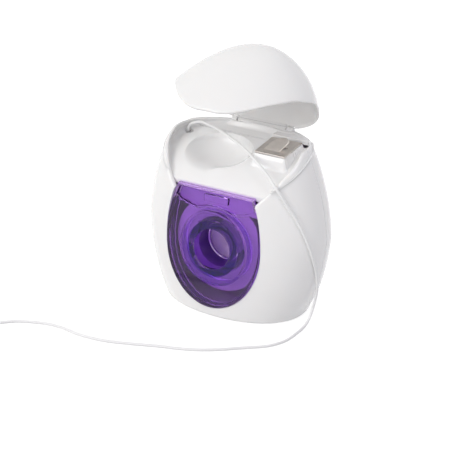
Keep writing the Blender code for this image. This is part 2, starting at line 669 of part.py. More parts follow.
def make_bobbin():
    """The bobbin and the floss wound on it."""
    bore = HUB_RADIUS + GAP
    core = bore + BOBBIN_WALL
    front, rear = -BOBBIN_FRONT, -(BOBBIN_FRONT + BOBBIN_WIDTH)
    flange = BOBBIN_FLANGE_THICKNESS
    bobbin = turned("bobbin", [(bore, front), (BOBBIN_FLANGE_RADIUS, front),
                               (BOBBIN_FLANGE_RADIUS, front - flange), (core, front - flange),
                               (core, rear + flange), (BOBBIN_FLANGE_RADIUS, rear + flange),
                               (BOBBIN_FLANGE_RADIUS, rear), (bore, rear)])
    first, last = front - flange - GAP, rear + flange + GAP
    winding = turned("floss_winding", [(core + GAP, first), (WINDING_RADIUS, first), (WINDING_RADIUS, last),
                                       (core + GAP, last)])
    return bobbin, winding


def smooth_through(points, count):
    """Points at even steps along a smooth (Catmull-Rom) curve through the given points."""
    points = np.asarray(points, float)
    padded = np.vstack((2 * points[0] - points[1], points, 2 * points[-1] - points[-2]))
    steps = np.linspace(0.0, 1.0, CURVE_STEPS, endpoint=False)[:, None]
    spans = []
    for before, start, end, after in zip(padded, padded[1:], padded[2:], padded[3:]):
        bend, twist = 2 * before - 5 * start + 4 * end - after, 3 * start - before - 3 * end + after
        spans.append(start + 0.5 * steps * ((end - before) + steps * (bend + steps * twist)))
    fine = np.vstack(spans + [points[-1:]])
    along = np.concatenate(([0.0], np.cumsum(np.linalg.norm(np.diff(fine, axis=0), axis=1))))
    wanted = np.linspace(0.0, along[-1], count)
    return np.column_stack([np.interp(wanted, along, fine[:, axis]) for axis in range(3)])


def tube(name, points, resolution=2):
    """A round tube along a run of points."""
    curve = bpy.data.curves.new(name, "CURVE")
    curve.dimensions = "3D"
    curve.bevel_depth = FLOSS_DIAMETER / 2
    curve.bevel_resolution = resolution
    curve.use_fill_caps = True
    spline = curve.splines.new("POLY")
    spline.points.add(len(points) - 1)
    for point, place in zip(spline.points, points):
        point.co = (*place, 1.0)
    made = bpy.data.objects.new(name, curve)
    PARTS.objects.link(made)
    return made


def make_inner_run():
    """The floss from the winding's rim up into the hole in the deck."""
    hole_x, hole_y, rise = on_deck(FLOSS_HOLE_SHARES, -DECK_WALL / 2)
    reach = WINDING_RADIUS + GAP + FLOSS_DIAMETER / 2
    knee = Vector((hole_x, 0, rise - 3 * FLOSS_HOLE_RADIUS - HUB_HEIGHT))
    angle = math.atan2(knee.z, knee.x) + math.acos(reach / knee.length)
    start = (reach * math.cos(angle), INNER_RUN_START, HUB_HEIGHT + reach * math.sin(angle))
    below = (hole_x, hole_y, rise - 2 * FLOSS_HOLE_RADIUS)
    middle = tuple((a + b) / 2 for a, b in zip(start, below))
    route = [start, middle, below, (hole_x, hole_y, rise)]
    return tube("floss_inner_run", smooth_through(route, INNER_RUN_POINTS))


def coil_points():
    """Piled turns: the radius falls and grows again layer by layer, and each reversal climbs a layer."""
    turn = np.linspace(0.0, COIL_TURNS, COIL_TURNS * COIL_TURN_POINTS + 1)
    leg = COIL_TURNS / COIL_LAYERS
    inward = 1.0 - np.abs(np.mod(turn / leg, 2.0) - 1.0)
    radius = COIL_OUTER_RADIUS + (COIL_INNER_RADIUS - COIL_OUTER_RADIUS) * inward
    climbed = sum(np.clip(2.0 * (turn - reversal * leg) + 0.5, 0.0, 1.0)
                  for reversal in range(1, COIL_LAYERS))
    angle = COIL_START_ANGLE - 2 * np.pi * turn
    points = np.column_stack((COIL_CENTRE[0] + radius * np.cos(angle),
                              COIL_CENTRE[1] + radius * np.sin(angle),
                              FLOSS_DIAMETER / 2 + COIL_LAYER_RISE * climbed))
    first, last = (np.array((math.sin(turned_to), -math.cos(turned_to), 0.0)) for turned_to in angle[[0, -1]])
    return np.vstack((points[0] - first * FLOSS_DIAMETER, points, points[-1] + last * FLOSS_DIAMETER)), first


def least_gap(points):
    """The least clear distance between turns that aren't neighbours along the floss."""
    apart = np.linalg.norm(points[:, None] - points[None], axis=2)
    order = np.arange(len(points))
    near = np.abs(order[:, None] - order[None]) < COIL_TURN_POINTS / 2
    return apart[~near].min() - FLOSS_DIAMETER


def make_floss():
    """The drawn strand and the coil of what is left, which meet face to face."""
    coil, heading = coil_points()
    end = coil[0] - heading * GAP
    before_end = end - heading * 4 * FLOSS_DIAMETER
    strand = smooth_through(FLOSS_ROUTE + (tuple(before_end), tuple(end)), FLOSS_POINTS)
    print(f"least gap of the coil to itself: {least_gap(coil) * 1000:.2f} mm")
    lengths = [np.linalg.norm(np.diff(points, axis=0), axis=1).sum() for points in (strand, coil)]
    print(f"strand {lengths[0] * 1000:.1f} mm, coil {lengths[1] * 1000:.1f} mm")
    return tube("floss_strand", strand), tube("floss_coil", coil, 1)


MATERIALS = {
    "white": new_material("white_gloss_plastic", (0.86, 0.86, 0.87), 0.25),
    "lid": new_material("white_lid_plastic", (0.86, 0.86, 0.86), 0.25),
    "purple": new_material("purple_clear_plastic", (0.16, 0.04, 0.45), 0.1, alpha=0.6),
    "steel": new_material("stamped_steel", (0.55, 0.52, 0.48), 0.35, 1.0),
    "bobbin": new_material("bobbin_plastic", (0.8, 0.8, 0.82), 0.4),
    "floss": new_material("waxed_floss", (0.88, 0.88, 0.88), 0.6),
}


def finish(made, material):
    """Give a part its own copy of a material, and smooth shading."""
    made.data.materials.clear()
    made.data.materials.append(MATERIALS[material].copy())
    if made.type == "MESH":
        made.data.shade_smooth()


def build():
    """Make every part of the dispenser."""
    eggs = {"inner": egg("inner_egg", BODY_WALL), "lid_inner": egg("lid_inner_egg", LID_WALL)}
    front, rear = make_shells(eggs)
    lid = make_lid(eggs)
    window = make_window()
    cutter = make_cutter()
    bobbin, winding = make_bobbin()
    inner_run = make_inner_run()
    strand, coil = make_floss()
    for made, material in ((front, "white"), (rear, "white"), (lid, "lid"), (window, "purple"),
                           (cutter, "steel"), (bobbin, "bobbin"), (winding, "floss"),
                           (inner_run, "floss"), (strand, "floss"), (coil, "floss")):
        finish(made, material)


build()
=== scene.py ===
"""The looks of the floss dispenser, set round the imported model, laid out as an add-on.

Metres, +Z up. The window faces -Y, and the middle of the flat base is the origin.
"""
import math

import bmesh
import bpy
import numpy as np
from bpy.props import FloatProperty, FloatVectorProperty, IntProperty, PointerProperty
from mathutils import Matrix, Vector


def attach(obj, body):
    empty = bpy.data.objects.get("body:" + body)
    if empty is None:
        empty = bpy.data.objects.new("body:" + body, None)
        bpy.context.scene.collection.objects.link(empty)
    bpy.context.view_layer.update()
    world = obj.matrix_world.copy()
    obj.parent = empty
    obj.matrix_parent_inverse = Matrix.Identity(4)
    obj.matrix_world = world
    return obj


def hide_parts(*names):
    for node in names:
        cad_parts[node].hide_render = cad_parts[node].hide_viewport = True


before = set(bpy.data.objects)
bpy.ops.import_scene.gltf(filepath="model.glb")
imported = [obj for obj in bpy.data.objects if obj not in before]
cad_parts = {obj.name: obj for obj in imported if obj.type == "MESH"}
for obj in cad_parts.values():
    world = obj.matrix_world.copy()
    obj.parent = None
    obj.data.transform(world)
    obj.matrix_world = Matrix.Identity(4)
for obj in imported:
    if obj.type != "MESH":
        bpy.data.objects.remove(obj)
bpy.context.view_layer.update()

bl_info = {
    "name": "Floss Dispenser",
    "version": (1, 0, 0),
    "blender": (4, 5, 0),
    "location": "3D View > Sidebar > Dispenser",
    "description": "An egg-shaped floss dispenser with a hood lid, a clear window, a cutter and drawn floss",
    "category": "Add Mesh",
}

MM = 0.001

# The room between pieces, how far a tool reaches past what it cuts, and the usual rounding of an edge
GAP = 0.3 * MM
OVERRUN = 20 * MM
EDGE_ROUNDING = 0.2 * MM

# The case is an egg with a flat base.
BODY_HEIGHT = 63.0 * MM
HALF_WIDTH = 28.0 * MM
HALF_DEPTH = 16.4 * MM
WIDEST_LEVEL = 0.380 * BODY_HEIGHT
DEEPEST_LEVEL = 0.190 * BODY_HEIGHT
LOWER_REACH = 1.28 * WIDEST_LEVEL
LOWER_POWERS = (1.46, 4.44)
UPPER_WIDTH_POWERS = (1.60, 2.35)
UPPER_DEPTH_POWERS = (1.78, 4.30)
PLAN_POWER = 2.15
FOOT_ROUNDING = 1.2 * MM
BODY_WALL = 1.3 * MM
LID_WALL = 1.2 * MM
SEAM_SETBACK = 0.03 * MM
SEAM_ROUNDING = 0.25 * MM
SEAM_STEPS = (0.03 * MM, 0.08 * MM, 0.15 * MM, 0.25 * MM, 0.45 * MM)

# The parting line from the side: shares of half the depth, and of the height
PARTING_SHARES = (
    (-0.955, 0.481), (-0.925, 0.501), (-0.895, 0.525), (-0.841, 0.562), (-0.787, 0.595), (-0.726, 0.625),
    (-0.646, 0.659), (-0.543, 0.695), (-0.378, 0.732), (-0.171, 0.773), (0.030, 0.784), (0.793, 0.788),
)

# The lid hinge
LID_OPEN_ANGLE = math.radians(56.5)
HINGE = Vector((0.0, 12.0 * MM, 49.044 * MM))
BARREL_RADIUS = 1.0 * MM
BARREL_HALF = 7.8 * MM
PIN_RADIUS = 0.5 * MM
PIN_LENGTH = 1.3 * MM
EAR_RADIUS = 1.2 * MM
EAR_WIDTH = 1.8 * MM
EAR_FOOT = 3.5 * MM
ROOT_HEIGHT = 1.7 * MM
SWING_ROOM = 1.6 * MM
HINGE_FLOOR_REACH = (9.0 * MM, 12.8 * MM)
HINGE_FLOOR_THICKNESS = 0.9 * MM

# The window's own frame: across, up the leaning plate, and out of it, from the hub's centre
WINDOW_LEAN = math.radians(5.5)
WINDOW_CENTRE = np.array((0.0, -14.5 * MM, 20.3 * MM))
WINDOW_UP = np.array((0.0, math.sin(WINDOW_LEAN), math.cos(WINDOW_LEAN)))
WINDOW_OUT = np.array((0.0, -math.cos(WINDOW_LEAN), math.sin(WINDOW_LEAN)))
WINDOW_HALF_WIDTH = 15.1 * MM
WINDOW_WIDEST_RISE = 1.7 * MM
WINDOW_UPPER_REACH = 25.6 * MM
WINDOW_TOP_RISE = 17.1 * MM
WINDOW_BOTTOM_DROP = 17.2 * MM
WINDOW_THICKNESS = 1.2 * MM
SKIRT_DEPTH = 4.0 * MM
SKIRT_WALL = 0.8 * MM
HUB_RADIUS = 8.0 * MM
HUB_BORE_RADIUS = 5.75 * MM
HUB_DEPTH = 9.2 * MM
HUB_END_WALL = 1.0 * MM
GUARD_RADIUS = 11.0 * MM
GUARD_WALL = 0.8 * MM
GUARD_DEPTH = 4.0 * MM
FLAP_RECESS = 1.3 * MM
FLAP_SHARES = ((0.0, 0.72), (0.20, 0.705), (0.40, 0.667), (0.66, 0.715), (0.80, 0.775), (0.95, 0.84))
TAB_SIZE = (7.8 * MM, 2.0 * MM)
TAB_PROUD = 0.9 * MM
TAB_RISE = 14.3 * MM

# The deck under the lid
DECK_WALL = 1.3 * MM
DECK_EDGE = (-11.56 * MM, 37.62 * MM)
DECK_CROWN = (-4.59 * MM, 44.16 * MM)
DECK_BACK = (12.50 * MM, 49.20 * MM)
CROWN_BLEND = 3.4 * MM
FILLET_RADIUS = 2.2 * MM
LIMIT_SHARES = (0.86, 0.95)
APRON_HALF = 13.6 * MM
APRON_DROP = 6.0 * MM
DECK_SPLIT = 6.3 * MM
BOWL_CENTRE = (-5.4 * MM, -3.0 * MM, 47.2 * MM)
BOWL_RADII = (10.2 * MM, 8.6 * MM, 6.6 * MM)
BOWL_BLEND = (3.6 * MM, 0.7 * MM)
CREASE_ACROSS = (-1.0 * MM, 3.0 * MM)
CREASE_BACK = (-3.0 * MM, 2.0 * MM)
STEP_RISE = 0.9 * MM
STEP_BLEND = 0.4 * MM
UPSTAND_HALF = 11.5 * MM
UPSTAND_FADE = 4.0 * MM
UPSTAND_START = (9.0 * MM, 10.5 * MM)
UPSTAND_TOP = 50.3 * MM
HOLE_PLACE = (-19.2 * MM, 2.9 * MM)
HOLE_RADIUS = 0.9 * MM
HOLE_DEPTH = 2.5 * MM
HOLE_SHARES = (0.55, 1.15)

# The cutter's own frame: across, back along its rise, and up from the middle of its underside
CUTTER_PLACE = (11.3 * MM, 1.2 * MM, 47.7 * MM)
CUTTER_SIZE = (9.4 * MM, 9.8 * MM)
CUTTER_RISE = math.radians(8.0)
BLOCK_MARGIN = 0.3 * MM
BLOCK_CORNER = 0.5 * MM
BLOCK_SLOPE = 5.0
BLOCK_BLEND = 0.9 * MM
SHEET_EDGE = 0.08 * MM
TONGUE_LENGTH = 4.6 * MM
TONGUE_WIDTH = 4.6 * MM
TONGUE_ROOT = (-0.7 * MM, -2.7 * MM)
TONGUE_LEAN_SHARE = 0.7
SLOT_INSETS = ((0.9 * MM, 0.5 * MM), (0.4 * MM, 1.6 * MM))
LEG_HALF_WIDTH = 1.5 * MM
LEG_DEPTH = 1.8 * MM

# The bobbin on the hub, and the boss and the closing disc behind the hub
BOBBIN_FRONT = WINDOW_CENTRE[1] + GUARD_DEPTH + 2 * GAP
BOBBIN_WIDTH = 13.0 * MM
FLANGE_RADIUS = 14.0 * MM
FLANGE_THICKNESS = 0.8 * MM
WINDING_RADIUS = 13.0 * MM
CORE_WALL = 0.9 * MM
BOSS_WALL = 1.2 * MM
DISC_RADIUS = HUB_RADIUS - 0.6 * MM
DISC_PLACE = (1.5 * MM, 2.5 * MM)

# The floss: its route in millimetres, and the coil of what is left
FLOSS_DIAMETER = 0.8 * MM
FLOSS_ROUTE = MM * np.array((
    (-19.2, 2.9, 46.0), (-19.2, 2.9, 47.2), (-18.7, 3.3, 48.3), (-17.2, 3.8, 49.0), (-15.3, 4.1, 49.3),
    (-12.8, 3.5, 49.2), (-8.0, 1.9, 48.8), (-3.4, 0.0, 48.2), (1.1, -2.1, 47.5), (4.9, -4.4, 46.8),
    (7.1, -5.6, 46.2), (10.1, -7.2, 45.2), (14.2, -9.6, 43.7), (17.4, -11.3, 41.8), (19.5, -11.0, 39.1),
    (21.3, -10.3, 36.1), (23.3, -9.4, 32.9), (25.6, -8.0, 27.6), (27.1, -6.0, 21.2), (27.2, -3.5, 15.3),
    (27.0, -2.3, 10.1), (26.3, -2.5, 5.3), (25.9, -4.3, 1.6), (25.8, -6.7, 0.4), (26.0, -10.4, 0.4),
    (25.7, -16.1, 0.4), (24.2, -20.2, 0.4), (22.0, -23.1, 0.4), (17.5, -27.1, 0.4), (13.4, -30.8, 0.4),
    (9.1, -33.9, 0.4), (4.1, -36.4, 0.4), (-1.2, -38.3, 0.4), (-9.7, -41.9, 0.4), (-15.1, -43.8, 0.4),
    (-20.3, -44.7, 0.4), (-24.7, -44.8, 0.4), (-29.3, -44.3, 0.4), (-33.6, -44.6, 0.4), (-37.8, -45.9, 0.4),
    (-42.6, -48.4, 0.4), (-45.9, -51.7, 0.4),
))
COIL_CENTRE = (-55.2 * MM, -53.6 * MM)
COIL_START_ANGLE = math.radians(-41.0)
COIL_TURNS = 9
COIL_LAYERS = 4
COIL_RADII = (5.9 * MM, 3.0 * MM)
COIL_LAYER_RISE = 1.25 * MM
COIL_TURN_POINTS = 24
INNER_RUN_START = -3.0 * MM

# The stage, with the camera's place in millimetres
WHITE = (1.0, 1.0, 1.0)
BLACK = (0.0, 0.0, 0.0)
FLOOR_GREY = 0.6
FLOOR_HALF = 6.0
FLOOR_DROP = 0.05 * MM
LAMP_AIM = (0.0, 0.0, 0.03)
LAMPS = (
    ("key_lamp", "key_power", (-0.55, -1.20, 0.60), 0.9, (1.0, 0.99, 0.97)),
    ("fill_lamp", "fill_power", (0.9, -0.5, 1.0), 0.6, (0.94, 0.93, 1.0)),
)
CAMERA_TURN = math.radians(31.431)
CAMERA_LIFT = math.radians(23.092)
CAMERA_ROLL = math.radians(1.0)
CAMERA_ACROSS = -3.663
CAMERA_LEVEL = 22.135
CAMERA_DISTANCE = 357.769
CAMERA_LENS = 100.0
CAMERA_SENSOR = 36.0


# Meshes

def grid_faces(rows, columns, wrap=False):
    """Corners of each cell of a grid of points, row by row. With wrap, the last column joins the first."""
    row, column = np.meshgrid(np.arange(rows - 1), np.arange(columns - (not wrap)), indexing="ij")
    start, beside = row * columns + column, row * columns + (column + 1) % columns
    return np.stack((start, beside, beside + columns, start + columns), axis=-1).reshape(-1, 4)


def grid_mesh(points, wrap=False, ends=False, straight=None):
    """A mesh from a grid of points, with rows first. Points that meet are merged, so a row drawn in to
    one point makes a pole, and the faces point outwards. With ends, a face closes each end row. With
    straight, each point also stores its place on the straightened piece."""
    rows, columns = points.shape[:2]
    faces = grid_faces(rows, columns, wrap).tolist()
    if ends:
        last = (rows - 1) * columns
        faces += [list(range(columns)), list(range(last, last + columns))]
    mesh = bpy.data.meshes.new("surface")
    mesh.from_pydata(points.reshape(-1, 3).tolist(), [], faces)
    if straight is not None:
        stored = mesh.attributes.new("straight", "FLOAT_VECTOR", "POINT")
        stored.data.foreach_set("vector", straight.astype(np.float32).ravel())
    shape = bmesh.new()
    shape.from_mesh(mesh)
    bmesh.ops.remove_doubles(shape, verts=shape.verts, dist=MM / 1000)
    bmesh.ops.dissolve_degenerate(shape, edges=shape.edges, dist=MM / 1000)
    bmesh.ops.recalc_face_normals(shape, faces=shape.faces)
    shape.to_mesh(mesh)
    shape.free()
    return mesh


def sheet_mesh(top, bottom):
    """A closed slab between two grids of the same size, the second below the first: the two grids, and
    the first row, last row, first column and last column joined from one to the other."""
    stack = np.stack((top, bottom))
    pieces = [top, bottom, stack[:, 0], stack[:, -1], stack[:, :, 0], stack[:, :, -1]]
    return joined(*(grid_mesh(piece) for piece in pieces), weld=True)


def joined(*meshes, weld=False):
    """One mesh with the faces of several. With weld, corners that meet are merged."""
    shape = bmesh.new()
    for mesh in meshes:
        shape.from_mesh(mesh)
    if weld:
        bmesh.ops.remove_doubles(shape, verts=shape.verts, dist=MM / 1000)
        bmesh.ops.recalc_face_normals(shape, faces=shape.faces)
    made = bpy.data.meshes.new("joined")
    shape.to_mesh(made)
    shape.free()
    return made


def linked(name, data):
    """A new object with this data, in the scene."""
    made = bpy.data.objects.new(name, data)
    bpy.context.scene.collection.objects.link(made)
    return made


def carved(mesh, *steps):
    """The mesh after each step, which is a boolean operation and the mesh that it works with."""
    carriers = [linked("carrier", part) for part in (mesh, *(tool for operation, tool in steps))]
    for (operation, tool), carrier in zip(steps, carriers[1:]):
        step = carriers[0].modifiers.new("step", "BOOLEAN")
        step.operation, step.solver, step.object = operation, "EXACT", carrier
    bpy.context.view_layer.update()
    made = bpy.data.meshes.new_from_object(carriers[0].evaluated_get(bpy.context.evaluated_depsgraph_get()))
    for carrier in carriers:
        bpy.data.objects.remove(carrier, do_unlink=True)
    return made


def piece(name, mesh, material, body, slot, *nodes, crease=35.0):
    """A finished piece: a mesh with its material, smooth but for creases sharper than an angle, which
    rides on a body and stands for the CAD nodes. The slot is not used."""
    mesh.name = name
    mesh.materials.clear()
    mesh.materials.append(material)
    mesh.shade_smooth()
    mesh.set_sharp_from_angle(angle=math.radians(crease))
    made = linked(name, mesh)
    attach(made, body)
    if nodes:
        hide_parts(*nodes)
    return made


def round_turns(count):
    """Turns all the way round, evenly spaced."""
    return np.linspace(0.0, 2 * math.pi, count, endpoint=False)


def distances(points):
    """The distance along a line at each of its points."""
    return np.concatenate(([0.0], np.cumsum(np.linalg.norm(np.diff(points, axis=0), axis=1))))


def smooth_through(points, count=None, steps=16):
    """Points along a Catmull-Rom curve through the given ones. With a count, they are evenly spaced."""
    points = np.asarray(points, float)
    padded = np.vstack((2 * points[0] - points[1], points, 2 * points[-1] - points[-2]))
    share = np.linspace(0.0, 1.0, steps, endpoint=False)[None, :, None]
    before, start, end, after = (padded[k:len(padded) - 3 + k][:, None] for k in range(4))
    spans = start + 0.5 * share * ((end - before) + share * ((2 * before - 5 * start + 4 * end - after)
                                   + share * (3 * start - before - 3 * end + after)))
    fine = np.vstack((spans.reshape(-1, points.shape[1]), points[-1:]))
    if count is None:
        return fine
    along = distances(fine)
    wanted = np.linspace(0.0, along[-1], count)
    return np.column_stack([np.interp(wanted, along, column) for column in fine.T])


def eased(value, low, high):
    """0 below low, 1 above high, and 3 t squared less 2 t cubed between them."""
    share = np.clip((value - low) / (high - low), 0.0, 1.0)
    return share * share * (3 - 2 * share)


def soft_min(first, second, reach):
    """The lower of two heights, rounded where they are closer than a reach."""
    near = np.clip(1 - np.abs(first - second) / reach, 0.0, 1.0)
    return np.minimum(first, second) - near * near * reach / 4


def soft_max(first, second, reach):
    """The higher of two heights, rounded where they are closer than a reach."""
    return -soft_min(-first, -second, reach)


# The egg

def swell(level, widest, powers):
    """The share of a full half size at a level: (1 - t^p)^(1/q). t grows from 0 at the widest level to 1
    at the top, or at a reach below the base, where other powers hold."""
    above = level > widest
    share = np.where(above, (level - widest) / (BODY_HEIGHT - widest), (widest - level) / LOWER_REACH)
    bend = np.where(above, powers[0], LOWER_POWERS[0])
    fullness = np.where(above, powers[1], LOWER_POWERS[1])
    return np.clip(1 - np.clip(share, 0, 1) ** bend, 0, 1) ** (1 / fullness)


def egg(turn, level, inset=0.0):
    """Points of the egg. At each level it is a superellipse: x is the half width times cos^(2/n) of the
    turn and y the half depth times sin^(2/n). The foot is a quarter circle. An inset scales it down."""
    turn, level = np.broadcast_arrays(turn, level)
    wall = np.maximum(level, FOOT_ROUNDING)
    drop = FOOT_ROUNDING - np.minimum(level, FOOT_ROUNDING)
    draw_in = FOOT_ROUNDING - np.sqrt(np.clip(FOOT_ROUNDING ** 2 - drop ** 2, 0, None))
    wide = swell(wall, WIDEST_LEVEL, UPPER_WIDTH_POWERS) * HALF_WIDTH - draw_in
    deep = swell(wall, DEEPEST_LEVEL, UPPER_DEPTH_POWERS) * HALF_DEPTH - draw_in
    side, front = np.cos(turn), np.sin(turn)
    power = 2 / PLAN_POWER
    return np.stack((
        wide * np.sign(side) * np.abs(side) ** power * (HALF_WIDTH - inset) / HALF_WIDTH,
        deep * np.sign(front) * np.abs(front) ** power * (HALF_DEPTH - inset) / HALF_DEPTH,
        inset + level * (BODY_HEIGHT - 2 * inset) / BODY_HEIGHT,
    ), axis=-1)


PARTING_LINE = smooth_through(np.array(PARTING_SHARES) * (HALF_DEPTH, BODY_HEIGHT))


def rim_level(turn, shift):
    """The level at each turn where the egg meets the parting line, which is moved up by a shift."""
    level = np.linspace(0.4 * BODY_HEIGHT, 0.85 * BODY_HEIGHT, 1500)
    back = egg(turn[:, None], level[None])[..., 1]
    over = level[None] - np.interp(back, PARTING_LINE[:, 0], PARTING_LINE[:, 1]) - shift
    first = np.argmax(over > 0, axis=1)
    rows = np.arange(len(turn))
    low, high = over[rows, first - 1], over[rows, first]
    return level[first] - (level[1] - level[0]) * high / (high - low)


def seam_turns(count, start):
    """Turns over half the egg from one seam to the other, closer together next to the seams."""
    edge = (np.array(SEAM_STEPS) / HALF_DEPTH) ** (PLAN_POWER / 2)
    even = np.linspace(0.0, math.pi, count)
    even = even[(even > edge[-1] * 1.2) & (even < math.pi - edge[-1] * 1.2)]
    return start + np.concatenate(([0.0], edge, even, math.pi - edge[::-1], [math.pi]))


def seam_draw_in(points, rounding):
    """Points drawn in towards the egg's axis next to the seam plane, by a quarter circle."""
    near = np.clip(rounding - np.abs(points[..., 1]), 0.0, rounding)
    depth = rounding - np.sqrt(rounding ** 2 - near ** 2)
    points[..., 0] -= np.sign(points[..., 0]) * depth
    return points


def lip(outer, inner, lean):
    """Points over a rim, from the end of the outer wall to the end of the inner one: half an ellipse about
    the middle of the two ends, with the lean as its other arm."""
    arc = np.linspace(0.0, math.pi, 11)[None, 1:-1, None]
    middle, reach = (outer + inner) / 2, (outer - inner) / 2
    return middle[:, None] + reach[:, None] * np.cos(arc) + lean[:, None] * np.sin(arc)


def shell_half(start, seam, rim_round):
    """One closed half shell: each section runs from the base's centre out, up the wall, over the rounded
    rim, down the inner wall and back to the centre."""
    turn = seam_turns(200, start)
    rim = rim_level(turn, -GAP / 2) - rim_round
    outer_levels = np.concatenate((
        FOOT_ROUNDING * (1 - np.cos(np.linspace(0.0, math.pi / 2, 6)))[None] + 0 * rim[:, None],
        FOOT_ROUNDING + (rim[:, None] - FOOT_ROUNDING) * np.linspace(0.0, 1.0, 90)[None, 1:],
    ), axis=1)
    inner_levels = FOOT_ROUNDING + (rim[:, None] - FOOT_ROUNDING) * np.linspace(1.0, 0.0, 30)[None]
    outer = seam_draw_in(egg(turn[:, None], outer_levels), SEAM_ROUNDING)
    inner = egg(turn[:, None], inner_levels, BODY_WALL)
    inner[..., 2] = inner_levels
    inner[:, -1, 2] = BODY_WALL
    crest = seam_draw_in(egg(turn, rim + rim_round), SEAM_ROUNDING)
    over = lip(outer[:, -1], inner[:, 0], crest - outer[:, -1])
    bottom, top = np.zeros((len(turn), 1, 3)), np.zeros((len(turn), 1, 3))
    top[..., 2] = BODY_WALL
    points = np.concatenate((bottom, outer, over, inner, top), axis=1)
    points[..., 1] += seam
    return grid_mesh(points, ends=True)


# Solids of simple section

def quarter_round(rounding):
    """Points of a quarter circle next to a face: how far each is drawn in, and how deep it lies."""
    lean = np.linspace(0.0, math.pi / 2, 5) if rounding else np.array((math.pi / 2,))
    return rounding * (1 - np.sin(lean)), rounding * (1 - np.cos(lean))


def rod(radius, start, end, sides=40, rounding=0.0):
    """A round rod: circles about the line from start to end, drawn in by a quarter circle at its ends."""
    start, end = np.array(start, float), np.array(end, float)
    length = np.linalg.norm(end - start)
    axis = (end - start) / length
    side = np.cross(axis, (0.0, 0.0, 1.0) if abs(axis[2]) < 0.9 else (1.0, 0.0, 0.0))
    side /= np.linalg.norm(side)
    other = np.cross(axis, side)
    inset, along = quarter_round(rounding)
    radii = np.concatenate(([0.0], radius - inset, (radius - inset)[::-1], [0.0]))
    places = np.concatenate(([0.0], along, length - along[::-1], [length]))
    turn = round_turns(sides)
    ring = np.cos(turn)[:, None] * side + np.sin(turn)[:, None] * other
    return grid_mesh(start + places[:, None, None] * axis + radii[:, None, None] * ring[None], wrap=True)


def hinge_rod(radius, start, end, sides=40, rounding=0.0):
    """A round rod on the hinge's axis between two distances across."""
    return rod(radius, (start, HINGE.y, HINGE.z), (end, HINGE.y, HINGE.z), sides, rounding)


def hub_rod(radius, start, end, sides=96, rounding=0.0):
    """A round rod on the hub's axis between two distances back."""
    return rod(radius, (0, start, WINDOW_CENTRE[2]), (0, end, WINDOW_CENTRE[2]), sides, rounding)


def turned(profile, sides=96):
    """A closed profile of (radius, distance back) turned about the bobbin's axis."""
    profile = np.asarray(profile, float)
    turn = round_turns(sides)[:, None]
    loop = np.vstack((profile, profile[:1]))
    points = np.stack((loop[:, 0] * np.cos(turn), 0 * turn + loop[:, 1],
                       WINDOW_CENTRE[2] + loop[:, 0] * np.sin(turn)), axis=-1)
    return grid_mesh(np.concatenate((points, points[:1])))


def rounded_profile(corners, rounding, steps=4):
    """A closed profile with each corner replaced by a short curve: the point at share t of it is the
    quadratic blend of the corner and the two points that lie a rounding away from it."""
    corners = np.asarray(corners, float)
    before, after = np.roll(corners, 1, axis=0) - corners, np.roll(corners, -1, axis=0) - corners
    first, last = (arm * np.minimum(rounding / np.linalg.norm(arm, axis=1), 0.45)[:, None] + corners
                   for arm in (before, after))
    share = np.linspace(0.0, 1.0, steps)[None, :, None]
    curve = ((1 - share) ** 2 * first[:, None] + 2 * share * (1 - share) * corners[:, None]
             + share ** 2 * last[:, None])
    return curve.reshape(-1, 2)


def slab(outline, front, back, place, rounding=0.0):
    """A closed slab: the outline at each depth, drawn in by a quarter circle at both faces, and a point at
    the middle of each face. A rounded face has one more ring, 1.8 roundings in. place sends (across, up,
    out) to the object's frame."""
    outline = np.asarray(outline, float)
    along = np.roll(outline, -1, axis=0) - np.roll(outline, 1, axis=0)
    inward = np.column_stack((-along[:, 1], along[:, 0])) / np.linalg.norm(along, axis=1)[:, None]
    middle = outline.mean(axis=0)
    inward *= np.sign(((middle - outline) * inward).sum(axis=1).mean())
    inset, depth = quarter_round(rounding)
    if rounding:
        inset, depth = np.concatenate(([1.8 * rounding], inset)), np.concatenate(([0.0], depth))
    inset, depth = np.concatenate((inset, inset[::-1])), np.concatenate((front - depth, (back + depth)[::-1]))
    rings = outline[None] + inset[:, None, None] * inward[None]
    rings = np.concatenate((np.broadcast_to(middle, (1,) + outline.shape), rings,
                            np.broadcast_to(middle, (1,) + outline.shape)))
    depth = np.concatenate(([front], depth, [back]))
    return grid_mesh(place(rings[..., 0], rings[..., 1], depth[:, None] + 0 * rings[..., 0]), wrap=True)


def box_outline(low, high, radius):
    """A rectangle with round corners."""
    corners = np.array(((high[0], high[1]), (low[0], high[1]), (low[0], low[1]), (high[0], low[1])))
    return rounded_profile(corners, radius, 5)


def upright(across, back, up):
    """A slab's outline seen from above."""
    return np.stack((across, back, up), axis=-1)


def sideways(back, up, across):
    """A slab's outline seen from the side."""
    return np.stack((across, back, up), axis=-1)


def upright_block(low, high, top, bottom):
    """A rectangle with round corners, seen from above, between two heights."""
    return slab(box_outline(low, high, EDGE_ROUNDING), top, bottom, upright)


# The window

def in_window(across, up, out):
    """From the window's frame to the object's frame."""
    return (WINDOW_CENTRE + across[..., None] * np.array((1.0, 0.0, 0.0))
            + up[..., None] * WINDOW_UP + out[..., None] * WINDOW_OUT)


